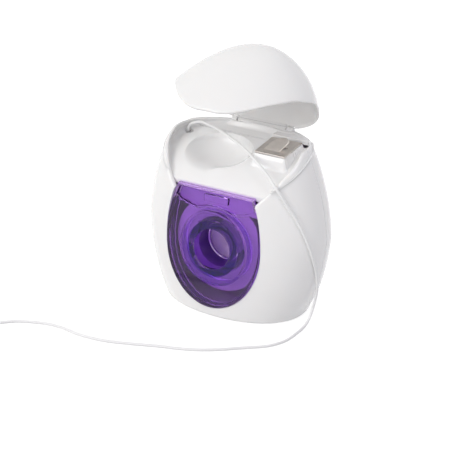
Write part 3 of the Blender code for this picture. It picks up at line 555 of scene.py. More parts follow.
def window_outline(grow, count=150):
    """Two half ellipses, the upper one cut straight by the top edge, and points along that edge."""
    half, upper = WINDOW_HALF_WIDTH + grow, WINDOW_UPPER_REACH + grow
    lower, top = WINDOW_BOTTOM_DROP + WINDOW_WIDEST_RISE + grow, WINDOW_TOP_RISE - WINDOW_WIDEST_RISE + grow
    corner = math.asin(top / upper)
    angle = np.linspace(corner, -math.pi - corner, count)
    curve = np.column_stack((half * np.cos(angle),
                             WINDOW_WIDEST_RISE + np.where(np.sin(angle) > 0, upper, lower) * np.sin(angle)))
    share = np.linspace(0.0, 1.0, 30)[1:-1, None]
    return np.vstack((curve, curve[-1] + share * (curve[0] - curve[-1])))


def flap_outline(grow):
    """The recess that the lid's front edge drops into."""
    right = np.array(FLAP_SHARES) * (WINDOW_HALF_WIDTH, WINDOW_TOP_RISE) - (0.0, grow)
    line = smooth_through(np.vstack((right[:0:-1] * (-1, 1), right)), steps=8)
    top = WINDOW_TOP_RISE + OVERRUN
    return np.vstack((line, [(line[-1, 0], top), (line[0, 0], top)]))


def window_mesh():
    """The clear window: block, skirt, recess, hub, guard wall and latch tab as one solid."""
    face, inside = WINDOW_CENTRE[1], WINDOW_CENTRE[1] + WINDOW_THICKNESS / 2
    block = slab(window_outline(0.0), 0.0, -SKIRT_DEPTH, in_window, rounding=0.25 * MM)
    hollow = slab(window_outline(-SKIRT_WALL), -WINDOW_THICKNESS, -OVERRUN, in_window, rounding=0.4 * MM)
    flap = carved(
        slab(flap_outline(SKIRT_WALL), -FLAP_RECESS / 2, -FLAP_RECESS - WINDOW_THICKNESS, in_window),
        ("INTERSECT", slab(window_outline(-SKIRT_WALL / 2), OVERRUN, -OVERRUN, in_window)))
    recess = carved(slab(flap_outline(0.0), OVERRUN, -FLAP_RECESS, in_window),
                    ("INTERSECT", slab(window_outline(-SKIRT_WALL), 1.25 * OVERRUN, -OVERRUN, in_window)))
    hub = hub_rod(HUB_RADIUS, inside, face + HUB_DEPTH, rounding=EDGE_ROUNDING)
    bore = hub_rod(HUB_BORE_RADIUS, face - OVERRUN, face + HUB_DEPTH - HUB_END_WALL, rounding=0.3 * MM)
    guard_bore = GUARD_RADIUS - GUARD_WALL
    guard = turned([(GUARD_RADIUS, inside), (GUARD_RADIUS, face + GUARD_DEPTH),
                    (guard_bore, face + GUARD_DEPTH), (guard_bore, inside)])
    half, rise = TAB_SIZE[0] / 2, TAB_SIZE[1] / 2
    tab = slab(box_outline((-half, TAB_RISE - rise), (half, TAB_RISE + rise), 0.3 * MM),
               TAB_PROUD - FLAP_RECESS, -FLAP_RECESS - WINDOW_THICKNESS / 2, in_window, rounding=0.15 * MM)
    return carved(block, ("DIFFERENCE", hollow), ("UNION", flap), ("UNION", guard), ("UNION", hub),
                  ("DIFFERENCE", recess), ("DIFFERENCE", bore), ("UNION", tab))


# The deck

def in_cutter(across, back, up):
    """From the cutter's tilted frame to the object's frame."""
    sine, cosine = math.sin(CUTTER_RISE), math.cos(CUTTER_RISE)
    return np.stack((CUTTER_PLACE[0] + across, CUTTER_PLACE[1] + back * cosine - up * sine,
                     CUTTER_PLACE[2] + back * sine + up * cosine), axis=-1)


def deck_height(across, back):
    """The deck's height: the lower of the steep panel and the shelf, then the lower of that and the
    bowl's ellipsoid, then the higher of that and the cutter's block, and behind the split the higher of
    that and a step, each blend rounded. The deck climbs to an upstand in front of the hinge, and an eased
    dip sinks the floss hole."""
    def plane(first, last):
        return first[1] + (back - first[0]) * (last[1] - first[1]) / (last[0] - first[0])
    deck = soft_min(plane(DECK_EDGE, DECK_CROWN), plane(DECK_CROWN, DECK_BACK), CROWN_BLEND)
    inside = 1 - sum(((value - centre) / radius) ** 2 for value, centre, radius in
                     zip((across, back), BOWL_CENTRE, BOWL_RADII))
    bowl = BOWL_CENTRE[2] - BOWL_RADII[2] * np.sqrt(np.clip(inside, 0.0, None)) + (inside < 0) * BOWL_RADII[2]
    crease = eased(across - BOWL_CENTRE[0], *CREASE_ACROSS) * (1 - eased(back, *CREASE_BACK))
    deck = soft_min(deck, bowl, BOWL_BLEND[0] + (BOWL_BLEND[1] - BOWL_BLEND[0]) * crease)
    beside = np.abs(across - CUTTER_PLACE[0]) - (CUTTER_SIZE[0] / 2 + BLOCK_MARGIN)
    before = np.abs(back - CUTTER_PLACE[1]) - (CUTTER_SIZE[1] / 2 + BLOCK_MARGIN) * math.cos(CUTTER_RISE)
    out = np.hypot(np.clip(beside + BLOCK_CORNER, 0, None), np.clip(before + BLOCK_CORNER, 0, None))
    block = (CUTTER_PLACE[2] - GAP / 2 + (back - CUTTER_PLACE[1]) * math.tan(CUTTER_RISE)
             - BLOCK_SLOPE * np.clip(out - BLOCK_CORNER, 0, None))
    deck = soft_max(deck, block, BLOCK_BLEND)
    left = CUTTER_PLACE[0] - CUTTER_SIZE[0] / 2 - BLOCK_MARGIN
    step = (CUTTER_PLACE[2] + CUTTER_SIZE[1] / 2 * math.tan(CUTTER_RISE) + STEP_RISE
            - BLOCK_SLOPE * np.clip(left - across, 0, None))
    deck = np.where(back > DECK_SPLIT, soft_max(deck, step, STEP_BLEND), deck)
    upstand = (eased(back, *UPSTAND_START)
               * (1 - eased(np.abs(across), UPSTAND_HALF - UPSTAND_FADE, UPSTAND_HALF)))
    deck = deck + upstand * np.clip(UPSTAND_TOP - deck, 0.0, None)
    from_hole = np.hypot(across - HOLE_PLACE[0], back - HOLE_PLACE[1]) / HOLE_RADIUS
    return deck - HOLE_DEPTH * (1 - eased(from_hole, *HOLE_SHARES))


def deck_mesh(start, end, rows, columns=241):
    """A stretch of the deck between two distances back: x is a share of the room between the walls at
    that height, closer together next to the walls, and the room is found in three steps from a guess.
    Next to a wall the height climbs by a quarter circle, but not above the parting line under the lid's
    wall."""
    reach, fillet = BODY_WALL / 2, FILLET_RADIUS
    even = np.linspace(-1.0, 1.0, columns)
    share = 0.55 * np.sin(math.pi / 2 * even) + 0.45 * even
    back = np.linspace(start, end, rows)[:, None]
    guess = deck_height(share[None] * 0.8 * HALF_WIDTH, back)
    for _ in range(3):
        wide = swell(guess, WIDEST_LEVEL, UPPER_WIDTH_POWERS) * HALF_WIDTH
        deep = swell(guess, DEEPEST_LEVEL, UPPER_DEPTH_POWERS) * HALF_DEPTH
        room = wide * np.clip(1 - np.abs(back / deep) ** PLAN_POWER, 0, None) ** (1 / PLAN_POWER) - reach
        across = share[None] * room
        guess = deck_height(across, back)
    to_wall = np.clip(room - np.abs(across) - (BODY_WALL - reach), 0.0, fillet)
    rise = fillet - np.sqrt(np.clip(fillet ** 2 - (fillet - to_wall) ** 2, 0, None))
    height = guess + rise
    clear = LID_WALL + 2 * GAP
    outside = np.hypot(across / (wide - clear), back / (deep - clear))
    limit = np.interp(back, PARTING_LINE[:, 0], PARTING_LINE[:, 1]) - GAP / 2
    height = height - eased(outside, *LIMIT_SHARES) * np.clip(height - limit, 0, None)
    top = np.stack((across, back + 0 * across, height), axis=-1)
    return sheet_mesh(top, top - (0, 0, DECK_WALL))


# Finishes

class Value:
    """An output socket. Sums and products of values add Math nodes."""

    def __init__(self, nodes, socket):
        self.nodes, self.socket = nodes, socket

    def math(self, operation, *values):
        """A Math node with these values."""
        return self.nodes.node("ShaderNodeMath", {"operation": operation}, dict(enumerate(values)))

    def __add__(self, other):
        return self.math("ADD", self, other)

    def __mul__(self, other):
        return self.math("MULTIPLY", self, other)

    __radd__ = __add__
    __rmul__ = __mul__


class Nodes:
    """The nodes of a material or of the world."""

    def __init__(self, tree):
        self.tree = tree

    def node(self, kind, settings=None, inputs=None, output=0):
        """Add a node: its settings first, then the values or links of its sockets."""
        made = self.tree.nodes.new(kind)
        for key, value in (settings or {}).items():
            setattr(made, key, value)
        for key, value in (inputs or {}).items():
            self.feed(made.inputs[key], value)
        return Value(self, made.outputs[output])

    def feed(self, socket, value):
        """Link a value to a socket, or set the socket."""
        if isinstance(value, Value):
            self.tree.links.new(value.socket, socket)
        else:
            socket.default_value = value

    def place(self, kind="Object"):
        """The place on the object, the direction in the world, or the place on the straightened piece."""
        if kind == "straight":
            return self.node("ShaderNodeAttribute", {"attribute_name": kind}, None, 1)
        made = self.tree.nodes.new("ShaderNodeTexCoord")
        return Value(self, made.outputs[kind])

    def noise(self, scale, detail=2.0, stretch=(1.0, 1.0, 1.0), kind="Object"):
        """Smooth noise from 0 to 1 with a number of blots to the metre."""
        where = self.node("ShaderNodeMapping", None, {"Vector": self.place(kind), "Scale": stretch})
        return self.node("ShaderNodeTexNoise", None, {"Vector": where, "Scale": scale, "Detail": detail})

    def blend(self, share, first, second):
        """A colour between two, by a share. Each is a colour or a value."""
        ends = [end if isinstance(end, Value) else (*end, 1.0) for end in (first, second)]
        return self.node("ShaderNodeMix", {"data_type": "RGBA"}, {0: share, 6: ends[0], 7: ends[1]}, 2)

    def fade(self, value, low, high):
        """0 at low and 1 at high, eased between them."""
        return self.node("ShaderNodeMapRange", {"interpolation_type": "SMOOTHSTEP"},
                         {"Value": value, "From Min": low, "From Max": high})

    def seen(self):
        """1 where the camera, a reflection or clear plastic looks at it, and 0 for its light."""
        path = self.tree.nodes.new("ShaderNodeLightPath")
        camera, glossy, through = (Value(self, path.outputs[name]) for name in (
            "Is Camera Ray", "Is Glossy Ray", "Is Transmission Ray"))
        return camera.math("MAXIMUM", camera.math("MAXIMUM", camera, glossy), through)


class Finish(Nodes):
    """A material. Its constants go on the shader's own sockets."""

    def __init__(self, name, **constants):
        self.material = bpy.data.materials.new(name)
        self.material.use_nodes = True
        super().__init__(self.material.node_tree)
        self.shader = self.tree.nodes["Principled BSDF"]
        for label, value in constants.items():
            self.shader.inputs[label.replace("_", " ")].default_value = value

    def set(self, label, value):
        """Link a value to one of the shader's sockets, or set it."""
        self.feed(self.shader.inputs[label], value)

    def grade(self, share, dark, color, roughness, unevenness):
        """Vary the colour by a share from a darker tone of it, and add an unevenness to the roughness."""
        self.set("Base Color", self.blend(share, toned(color, dark), color))
        self.set("Roughness", roughness + unevenness)

    def bump(self, height, distance, strength):
        """Raise the surface by a height from 0 to 1, times a distance."""
        self.set("Normal", self.node(
            "ShaderNodeBump", None, {"Height": height, "Distance": distance, "Strength": strength}))


def toned(color, share):
    """A share of a colour."""
    return tuple(share * part for part in color)


def white_plastic(name, color, roughness):
    """Glossy moulded plastic that lets some light through: faint mottling, orange peel and uneven gloss."""
    made = Finish(name, Coat_Weight=0.35, Coat_Roughness=0.08, IOR=1.48, Subsurface_Weight=0.4,
                  Subsurface_Radius=(1.0, 0.93, 0.88), Subsurface_Scale=0.4 * MM)
    made.grade(made.noise(55.0, 2.0), 0.98, color, roughness, 0.07 * made.noise(420.0, 3.0))
    made.bump(made.noise(700.0, 1.0) * 0.6 + made.noise(120.0, 1.0) * 0.4, 0.012 * MM, 0.35)
    return made.material


def clear_plastic(name, color, hub_shade_color, bore_light_color, roughness):
    """Clear coloured plastic with faint flow lines, with painted shade that deepens the hub's thick wall and
    painted light that pales its bore.
    """
    made = Finish(name, Transmission_Weight=1.0, IOR=1.38, Specular_IOR_Level=0.2)
    flow = made.noise(90.0, 2.0, (1.0, 1.0, 0.35))
    where = made.node("ShaderNodeMapping", {"vector_type": "POINT"}, {
        "Vector": made.place(), "Location": (0.0, 0.0, -WINDOW_CENTRE[2]), "Scale": (1.0, 0.0, 1.0)})
    reach = made.node("ShaderNodeVectorMath", {"operation": "LENGTH"}, {0: where}, 1)
    # Painted shade: the hub's thick wall is painted a deeper tone than the rest of the window.
    wall = (made.fade(reach, HUB_BORE_RADIUS + 0.05 * MM, HUB_BORE_RADIUS + 0.25 * MM)
            * made.fade(reach, HUB_RADIUS + 0.25 * MM, HUB_RADIUS - 0.05 * MM))
    # Painted light: the bore is painted paler, as if light showed through its thin end wall.
    bore = made.fade(reach, HUB_BORE_RADIUS + 0.1 * MM, HUB_BORE_RADIUS - 0.1 * MM)
    base = made.blend(bore, made.blend(flow, toned(color, 0.94), color), bore_light_color)
    made.set("Base Color", made.blend(wall, base, hub_shade_color))
    made.set("Roughness", roughness + 0.02 * made.noise(500.0, 2.0))
    return made.material


def steel(name, color, roughness):
    """Stamped sheet: fine rolling lines, shallow crumples and darker stains."""
    made = Finish(name, Metallic=1.0)
    lines = made.noise(900.0, 3.0, (0.12, 1.0, 1.0))
    crumple = made.noise(650.0, 2.0)
    made.grade(lines * 0.5 + crumple * 0.5, 0.72, color, roughness, 0.2 * crumple)
    made.bump(lines * 0.4 + crumple * 0.6, 0.12 * MM, 0.8)
    return made.material


def floss_fibre(name, color, roughness, blots, kind="Object"):
    """Waxed fibres: streaks that are fine across the floss and long along it. Blots says how many go to
    the metre in each direction."""
    made = Finish(name, Sheen_Weight=0.2)
    streak = made.noise(1.0, 2.0, blots, kind)
    made.grade(streak, 0.92, color, roughness, 0.15 * streak)
    made.bump(streak, 0.02 * MM, 0.4)
    return made.material


def satin_plastic(name, color, roughness):
    """Satin moulded plastic for the bobbin."""
    made = Finish(name)
    grain = made.noise(800.0, 3.0)
    made.grade(grain, 0.95, color, roughness, 0.1 * grain)
    made.bump(grain, 0.02 * MM, 0.4)
    return made.material


# Settings

def color_setting(name, description, default):
    """A colour that a user may change."""
    return FloatVectorProperty(name=name, description=description, default=default, size=3, min=0.0, max=1.0,
                               subtype="COLOR")


def length_setting(name, description, default):
    """A length that a user may change."""
    return FloatProperty(name=name, description=description, default=default, min=0.0, precision=5,
                         unit="LENGTH")


def share_setting(name, description, default):
    """A share from 0 to 1 that a user may change."""
    return FloatProperty(name=name, description=description, default=default, min=0.0, max=1.0,
                         subtype="FACTOR")


class CaseSettings(bpy.types.PropertyGroup):
    """Sizes and colours of the case and its lid."""
    shell_color: color_setting("Shell colour", "Colour of the two shells", (0.95, 0.945, 0.945))
    lid_color: color_setting("Lid colour", "Colour of the lid", (0.945, 0.94, 0.935))
    roughness: share_setting("Roughness", "Roughness of the white plastic", 0.16)
    rim_round: length_setting("Rim rounding", "Height of the rounded rims", 0.55 * MM)


class WindowSettings(bpy.types.PropertyGroup):
    """Colours of the window and of what shows behind it."""
    color: color_setting("Window colour", "Colour that the window lets through", (0.60, 0.36, 0.86))
    # The hub's colour is painted shade, and the bore's colour is painted light.
    hub_shade_color: color_setting("Hub colour", "Colour of the hub's thick wall", (0.13, 0.02, 0.44))
    bore_light_color: color_setting("Bore colour", "Colour of the hub's thin inside", (0.93, 0.80, 1.0))
    roughness: share_setting("Roughness", "Roughness of the window", 0.03)
    bobbin_color: color_setting("Bobbin colour", "Colour of the bobbin", (0.92, 0.91, 0.92))


class CutterSettings(bpy.types.PropertyGroup):
    """Sizes and colour of the cutter."""
    color: color_setting("Steel colour", "Colour of the stamped steel", (0.82, 0.77, 0.72))
    roughness: share_setting("Roughness", "Roughness of the stamped steel", 0.28)
    thickness: length_setting("Thickness", "Thickness of the sheet", 0.35 * MM)
    tongue_angle: FloatProperty(name="Tongue angle", description="How far the tongue is bent up",
                                default=math.radians(36.0), subtype="ANGLE")


class FlossSettings(bpy.types.PropertyGroup):
    """Sizes and colour of the floss."""
    color: color_setting("Floss colour", "Colour of the waxed floss", (0.96, 0.96, 0.965))
    twist: FloatProperty(name="Twist", description="Length of one turn of the ply", default=3.2 * MM,
                         unit="LENGTH")
    sides: IntProperty(name="Sides", description="Points round the floss", default=14, min=8)


class StageSettings(bpy.types.PropertyGroup):
    """Light and floor."""
    key_power: FloatProperty(name="Key power", description="Power of the large lamp", default=8.0,
                             unit="POWER")
    fill_power: FloatProperty(name="Fill power", description="Power of the fill lamp", default=2.6,
                              unit="POWER")
    bright_side: FloatVectorProperty(name="Bright side", description="Where the light is strongest",
                                     default=(-0.72, -0.55, 0.42), subtype="DIRECTION")
    bright_light: color_setting("Bright light", "Light from the bright side", (0.64, 0.635, 0.63))
    dim_light: color_setting("Dim light", "Light from the other side", (0.52, 0.51, 0.55))
    floor_glow: FloatProperty(name="Floor glow", description="How far the floor is lifted to white",
                              default=0.7)


# The case and the lid

def swing_room(floor):
    """Room between the ears for the barrel and the lid's swing: half a circle in front of the hinge, and
    everything behind the hinge above a floor."""
    reach, half = BARREL_RADIUS + GAP, BARREL_HALF + GAP
    far, high = 30 * MM, 60 * MM
    angle = np.linspace(0.0, math.pi, 14)
    outline = np.vstack((
        np.column_stack((HINGE.y - reach * np.sin(angle), HINGE.z + reach * np.cos(angle))),
        [(HINGE.y, floor), (far, floor), (far, high), (HINGE.y, high)]))
    return slab(outline, half, -half, sideways)


def hood_mesh(rim_round):
    """The hood, shut: at each turn a section runs from the top down the egg to the rim, over the lip, and
    up the egg drawn in by the wall. Levels leave the top with the cube of a share, so they are closer
    together there. Room for the ears is cut out."""
    turn = round_turns(300)
    rim = rim_level(turn, GAP / 2) + rim_round
    climb = 1 - np.linspace(0.0, 1.0, 110)[None] ** 3
    outer = egg(turn[:, None], rim[:, None] + (BODY_HEIGHT - rim[:, None]) * climb)
    climb = 1 - np.linspace(1.0, 0.0, 70)[None] ** 3
    inner = egg(turn[:, None], rim[:, None] + (BODY_HEIGHT - rim[:, None]) * climb, LID_WALL)
    inner[..., 2] = rim[:, None] + (BODY_HEIGHT - LID_WALL - rim[:, None]) * climb
    over = lip(outer[:, -1], inner[:, 0], egg(turn, rim - rim_round) - outer[:, -1])
    hood = grid_mesh(np.concatenate((outer, over, inner), axis=1).transpose(1, 0, 2), wrap=True)
    ear_end = BARREL_HALF + 2 * GAP + EAR_WIDTH
    for side in (-1, 1):
        hood = carved(hood, ("DIFFERENCE", hinge_rod(EAR_RADIUS + GAP, side * BARREL_HALF, side * ear_end)))
    return hood


# The floss

def winding_mesh(core, first, last):
    """The wound floss between two distances back. The radius is the winding's, less a groove times
    1 - |cos p|^0.7, and less a drop next to both ends. p grows by pi from one lane of floss to the next,
    and falls by pi in one turn round the bobbin, so the lanes make a helix. The inside is a plain tube, a
    gap off the bobbin's core."""
    pitch, groove = 0.95 * FLOSS_DIAMETER, 0.35 * FLOSS_DIAMETER
    end_drop, end_share = 0.6 * MM, 0.06
    turn = round_turns(180)[:, None]
    along = np.linspace(0.0, 1.0, 320)[None]
    phase = math.pi * (last - first) / pitch * along - turn / 2
    radius = WINDING_RADIUS - groove * (1 - np.abs(np.cos(phase)) ** 0.7)
    radius -= end_drop * (1 - eased(np.minimum(along, 1 - along), 0.0, end_share))
    back = first + (last - first) * along + 0 * turn
    radius = np.hstack((radius, np.full((len(turn), 2), core + GAP), radius[:, :1]))
    back = np.hstack((back, back[:, [-1, 0]], back[:, :1]))
    ring = np.stack((radius * np.cos(turn), back, WINDOW_CENTRE[2] + radius * np.sin(turn)), axis=-1)
    return grid_mesh(np.concatenate((ring, ring[:1])))


def coil_points():
    """Piled turns: the radius falls and grows again layer by layer, and each reversal climbs a layer."""
    turn = np.linspace(0.0, COIL_TURNS, COIL_TURNS * COIL_TURN_POINTS + 1)
    leg = COIL_TURNS / COIL_LAYERS
    inward = 1.0 - np.abs(np.mod(turn / leg, 2.0) - 1.0)
    radius = COIL_RADII[0] + (COIL_RADII[1] - COIL_RADII[0]) * inward
    climbed = sum(np.clip(2.0 * (turn - reversal * leg) + 0.5, 0.0, 1.0)
                  for reversal in range(1, COIL_LAYERS))
    angle = COIL_START_ANGLE - 2 * np.pi * turn
    points = np.column_stack((
        COIL_CENTRE[0] + radius * np.cos(angle), COIL_CENTRE[1] + radius * np.sin(angle),
        FLOSS_DIAMETER / 2 + COIL_LAYER_RISE * climbed))
    ends = [np.array((math.sin(end), -math.cos(end), 0.0)) * FLOSS_DIAMETER for end in angle[[0, -1]]]
    return np.vstack((points[0] - ends[0], points, points[-1] + ends[1]))


def floss_tube(path, sides, twist):
    """A tube of three plies along a path: at each point a ring whose radius is the floss's, less a tenth
    where two plies meet, and the plies turn once in each twist. Each ring starts from the level side of
    the path, turned back by the sum of that side's own spin, so the tube has none. Its straightened
    place is (r cos t, r sin t, distance), where t turns with the plies."""
    forward = np.gradient(path, axis=0)
    forward /= np.linalg.norm(forward, axis=1)[:, None]
    side = np.cross(forward, (0.0, 0.0, 1.0))
    weak = np.linalg.norm(side, axis=1) < 0.2
    side[weak] = np.cross(forward[weak], (0.0, 1.0, 0.0))
    side /= np.linalg.norm(side, axis=1)[:, None]
    other = np.cross(forward, side)
    moved = side[:-1] - forward[1:] * (side[:-1] * forward[1:]).sum(axis=1)[:, None]
    spin = np.arctan2((moved * other[1:]).sum(axis=1), (moved * side[1:]).sum(axis=1))
    spin = np.concatenate(([0.0], np.cumsum(spin)))[:, None]
    along = distances(path)[:, None]
    turn = round_turns(sides)[None]
    twisted = turn - 2 * math.pi * along / twist
    radius = FLOSS_DIAMETER / 2 * (0.9 + 0.1 * np.abs(np.sin(1.5 * twisted)) ** 0.6)
    radius *= np.sqrt(np.clip(np.minimum(along, along[-1] - along) / (FLOSS_DIAMETER / 2), 0.0, 1.0))
    rings = (path[:, None] + (radius * np.cos(turn + spin))[..., None] * side[:, None]
             + (radius * np.sin(turn + spin))[..., None] * other[:, None])
    straight = np.stack((radius * np.cos(twisted), radius * np.sin(twisted), along + 0 * radius), axis=-1)
    return grid_mesh(rings, wrap=True, straight=straight)


# Operators

class DISPENSER_OT_front_shell(bpy.types.Operator):
    """Add the front shell with its part of the deck"""
    bl_idname = "dispenser.front_shell"
    bl_label = "Front shell"

    def execute(self, context):
        case = context.scene.dispenser_case
        opening = slab(window_outline(GAP / 2), OVERRUN, -OVERRUN, in_window)
        shell = carved(shell_half(math.pi, -SEAM_SETBACK, case.rim_round), ("DIFFERENCE", opening))
        deck = deck_mesh(DECK_EDGE[0], DECK_SPLIT - GAP / 2, 90)
        low, high = (-APRON_HALF, WINDOW_TOP_RISE - APRON_DROP), (APRON_HALF, WINDOW_TOP_RISE)
        apron = slab(box_outline(low, high, EDGE_ROUNDING), -FLAP_RECESS - WINDOW_THICKNESS - GAP,
                     -FLAP_RECESS - 2 * WINDOW_THICKNESS, in_window)
        finish = white_plastic("shell_white", case.shell_color, case.roughness)
        piece("case_front", joined(shell, deck, apron), finish, "case", "shell_plastic", "front_shell")
        return {"FINISHED"}


class DISPENSER_OT_rear_shell(bpy.types.Operator):
    """Add the rear shell with its part of the deck, the boss, the hinge ears, and the floor under the
    hinge and the disc behind the hub that close it to the eye"""
    bl_idname = "dispenser.rear_shell"
    bl_label = "Rear shell"

    def execute(self, context):
        case = context.scene.dispenser_case
        half = BARREL_HALF + GAP
        floor = HINGE.z - SWING_ROOM - GAP
        room = swing_room(floor)
        shell = carved(shell_half(0.0, SEAM_SETBACK, case.rim_round), ("DIFFERENCE", room))
        deck = carved(deck_mesh(DECK_SPLIT + GAP / 2, DECK_BACK[0] + 1.0 * MM, 40), ("DIFFERENCE", room))
        tray = upright_block((-half, HINGE_FLOOR_REACH[0]), (half, HINGE_FLOOR_REACH[1]), floor,
                             floor - HINGE_FLOOR_THICKNESS)
        ears = []
        for side in (-1, 1):
            inner, outer = side * half, side * (half + EAR_WIDTH)
            ears.append(hinge_rod(EAR_RADIUS, inner, outer, rounding=EDGE_ROUNDING))
            low, high = sorted((inner, outer))
            ears.append(upright_block((low, HINGE.y - EAR_RADIUS / 2), (high, HINGE.y + EAR_RADIUS / 2),
                                      HINGE.z, HINGE.z - EAR_FOOT))
        start, end = WINDOW_CENTRE[1] + HUB_DEPTH + GAP, HALF_DEPTH - BODY_WALL
        shoulder = BOBBIN_FRONT + BOBBIN_WIDTH + GAP
        boss = turned(rounded_profile([
            (HUB_RADIUS, start), (HUB_RADIUS, shoulder), (HUB_RADIUS + BOSS_WALL, shoulder),
            (HUB_RADIUS + BOSS_WALL, end), (HUB_RADIUS - BOSS_WALL, end), (HUB_RADIUS - BOSS_WALL, start)],
            EDGE_ROUNDING))
        disc = hub_rod(DISC_RADIUS, start + DISC_PLACE[0], start + DISC_PLACE[1], 64)
        finish = white_plastic("shell_white_rear", case.shell_color, case.roughness)
        mesh = joined(shell, deck, tray, boss, disc, *ears)
        piece("case_rear", mesh, finish, "case", "shell_plastic", "rear_shell")
        return {"FINISHED"}


class DISPENSER_OT_lid(bpy.types.Operator):
    """Add the hood lid with room for the ears, modelled shut and swung open about its hinge"""
    bl_idname = "dispenser.lid"
    bl_label = "Lid"

    def execute(self, context):
        case = context.scene.dispenser_case
        pin_end = BARREL_HALF + PIN_LENGTH
        barrel = hinge_rod(BARREL_RADIUS, -BARREL_HALF, BARREL_HALF, rounding=0.15 * MM)
        pins = hinge_rod(PIN_RADIUS, -pin_end, pin_end, 24, rounding=0.1 * MM)
        web = upright_block((-BARREL_HALF + GAP, HINGE.y - BARREL_RADIUS / 2),
                            (BARREL_HALF - GAP, HINGE.y + BARREL_RADIUS / 2), HINGE.z + ROOT_HEIGHT, HINGE.z)
        whole = joined(hood_mesh(case.rim_round), barrel, pins, web)
        whole.transform(Matrix.Translation(HINGE) @ Matrix.Rotation(-LID_OPEN_ANGLE, 4, "X")
                        @ Matrix.Translation(-HINGE))
        finish = white_plastic("lid_white", case.lid_color, case.roughness)
        piece("hood_lid", whole, finish, "lid", "lid_plastic", "lid")
        return {"FINISHED"}


class DISPENSER_OT_window(bpy.types.Operator):
    """Add the clear window with its hub, guard wall and latch tab"""
    bl_idname = "dispenser.window"
    bl_label = "Window"

    def execute(self, context):
        window = context.scene.dispenser_window
        # The hub's and bore's colours are painted shade and painted light.
        finish = clear_plastic("window_clear", window.color, window.hub_shade_color, window.bore_light_color,
                               window.roughness)
        piece("clear_window", window_mesh(), finish, "case", "window_plastic", "spool_window", crease=30.0)
        return {"FINISHED"}


class DISPENSER_OT_cutter(bpy.types.Operator):
    """Add the stamped cutter with its raised tongue"""
    bl_idname = "dispenser.cutter"
    bl_label = "Cutter"

    def execute(self, context):
        cutter = context.scene.dispenser_cutter
        wide, deep, half = CUTTER_SIZE[0] / 2, CUTTER_SIZE[1] / 2, TONGUE_WIDTH / 2
        thick = cutter.thickness
        sine, cosine = math.sin(cutter.tongue_angle), math.cos(cutter.tongue_angle)

        def from_root(across, along, up):
            """From the middle of the tongue's root, leaning to the right as it runs back."""
            return in_cutter(TONGUE_ROOT[0] + across + TONGUE_LEAN_SHARE * along, TONGUE_ROOT[1] + along, up)

        def on_tongue(across, along, up):
            """From the root, bent up by the tongue's angle."""
            return from_root(across, along * cosine - up * sine, thick / 2 + along * sine + up * cosine)
        plate = slab(box_outline((-wide, -deep), (wide, deep), 0.25 * MM), thick, 0.0, in_cutter, SHEET_EDGE)
        (left, start), (right, end) = SLOT_INSETS
        slot = slab(box_outline((-half + left, start), (half - right, TONGUE_LENGTH - end), 0.4 * MM),
                    5 * MM, -5 * MM, from_root)
        angle = np.linspace(0.0, math.pi, 24)
        outline = np.vstack(([(half, 0.0)], np.column_stack((
            half * np.cos(angle), TONGUE_LENGTH - half + half * np.sin(angle))), [(-half, 0.0)]))
        tongue = slab(outline, thick / 2, -thick / 2, on_tongue, SHEET_EDGE)
        legs = []
        for side in (-1, 1):
            inner, outer = sorted((side * (wide - 2 * thick), side * (wide - thick)))
            legs.append(slab(box_outline((inner, -LEG_HALF_WIDTH), (outer, LEG_HALF_WIDTH), 0.05 * MM),
                             thick / 2, -LEG_DEPTH, in_cutter))
        finish = steel("cutter_steel_sheet", cutter.color, cutter.roughness)
        piece("cutter", joined(carved(plate, ("DIFFERENCE", slot)), tongue, *legs), finish, "case",
              "cutter_steel", "cutter_plate")
        return {"FINISHED"}


class DISPENSER_OT_spool(bpy.types.Operator):
    """Add the bobbin and the floss wound on it"""
    bl_idname = "dispenser.spool"
    bl_label = "Spool"

    def execute(self, context):
        bore = HUB_RADIUS + GAP
        core, front, rear = bore + CORE_WALL, BOBBIN_FRONT, BOBBIN_FRONT + BOBBIN_WIDTH
        profile = rounded_profile([
            (bore, front), (FLANGE_RADIUS, front), (FLANGE_RADIUS, front + FLANGE_THICKNESS),
            (core, front + FLANGE_THICKNESS), (core, rear - FLANGE_THICKNESS),
            (FLANGE_RADIUS, rear - FLANGE_THICKNESS), (FLANGE_RADIUS, rear), (bore, rear)], EDGE_ROUNDING)
        finish = satin_plastic("bobbin_satin", context.scene.dispenser_window.bobbin_color, 0.35)
        piece("spool_bobbin", turned(profile), finish, "spool", "bobbin_plastic", "bobbin")
        inset = FLANGE_THICKNESS + GAP
        finish = floss_fibre("wound_fibre", context.scene.dispenser_floss.color, 0.5, (350.0, 4000.0, 350.0))
        piece("wound_floss", winding_mesh(core, front + inset, rear - inset), finish, "spool", "floss",
              "floss_winding", crease=80.0)
        return {"FINISHED"}


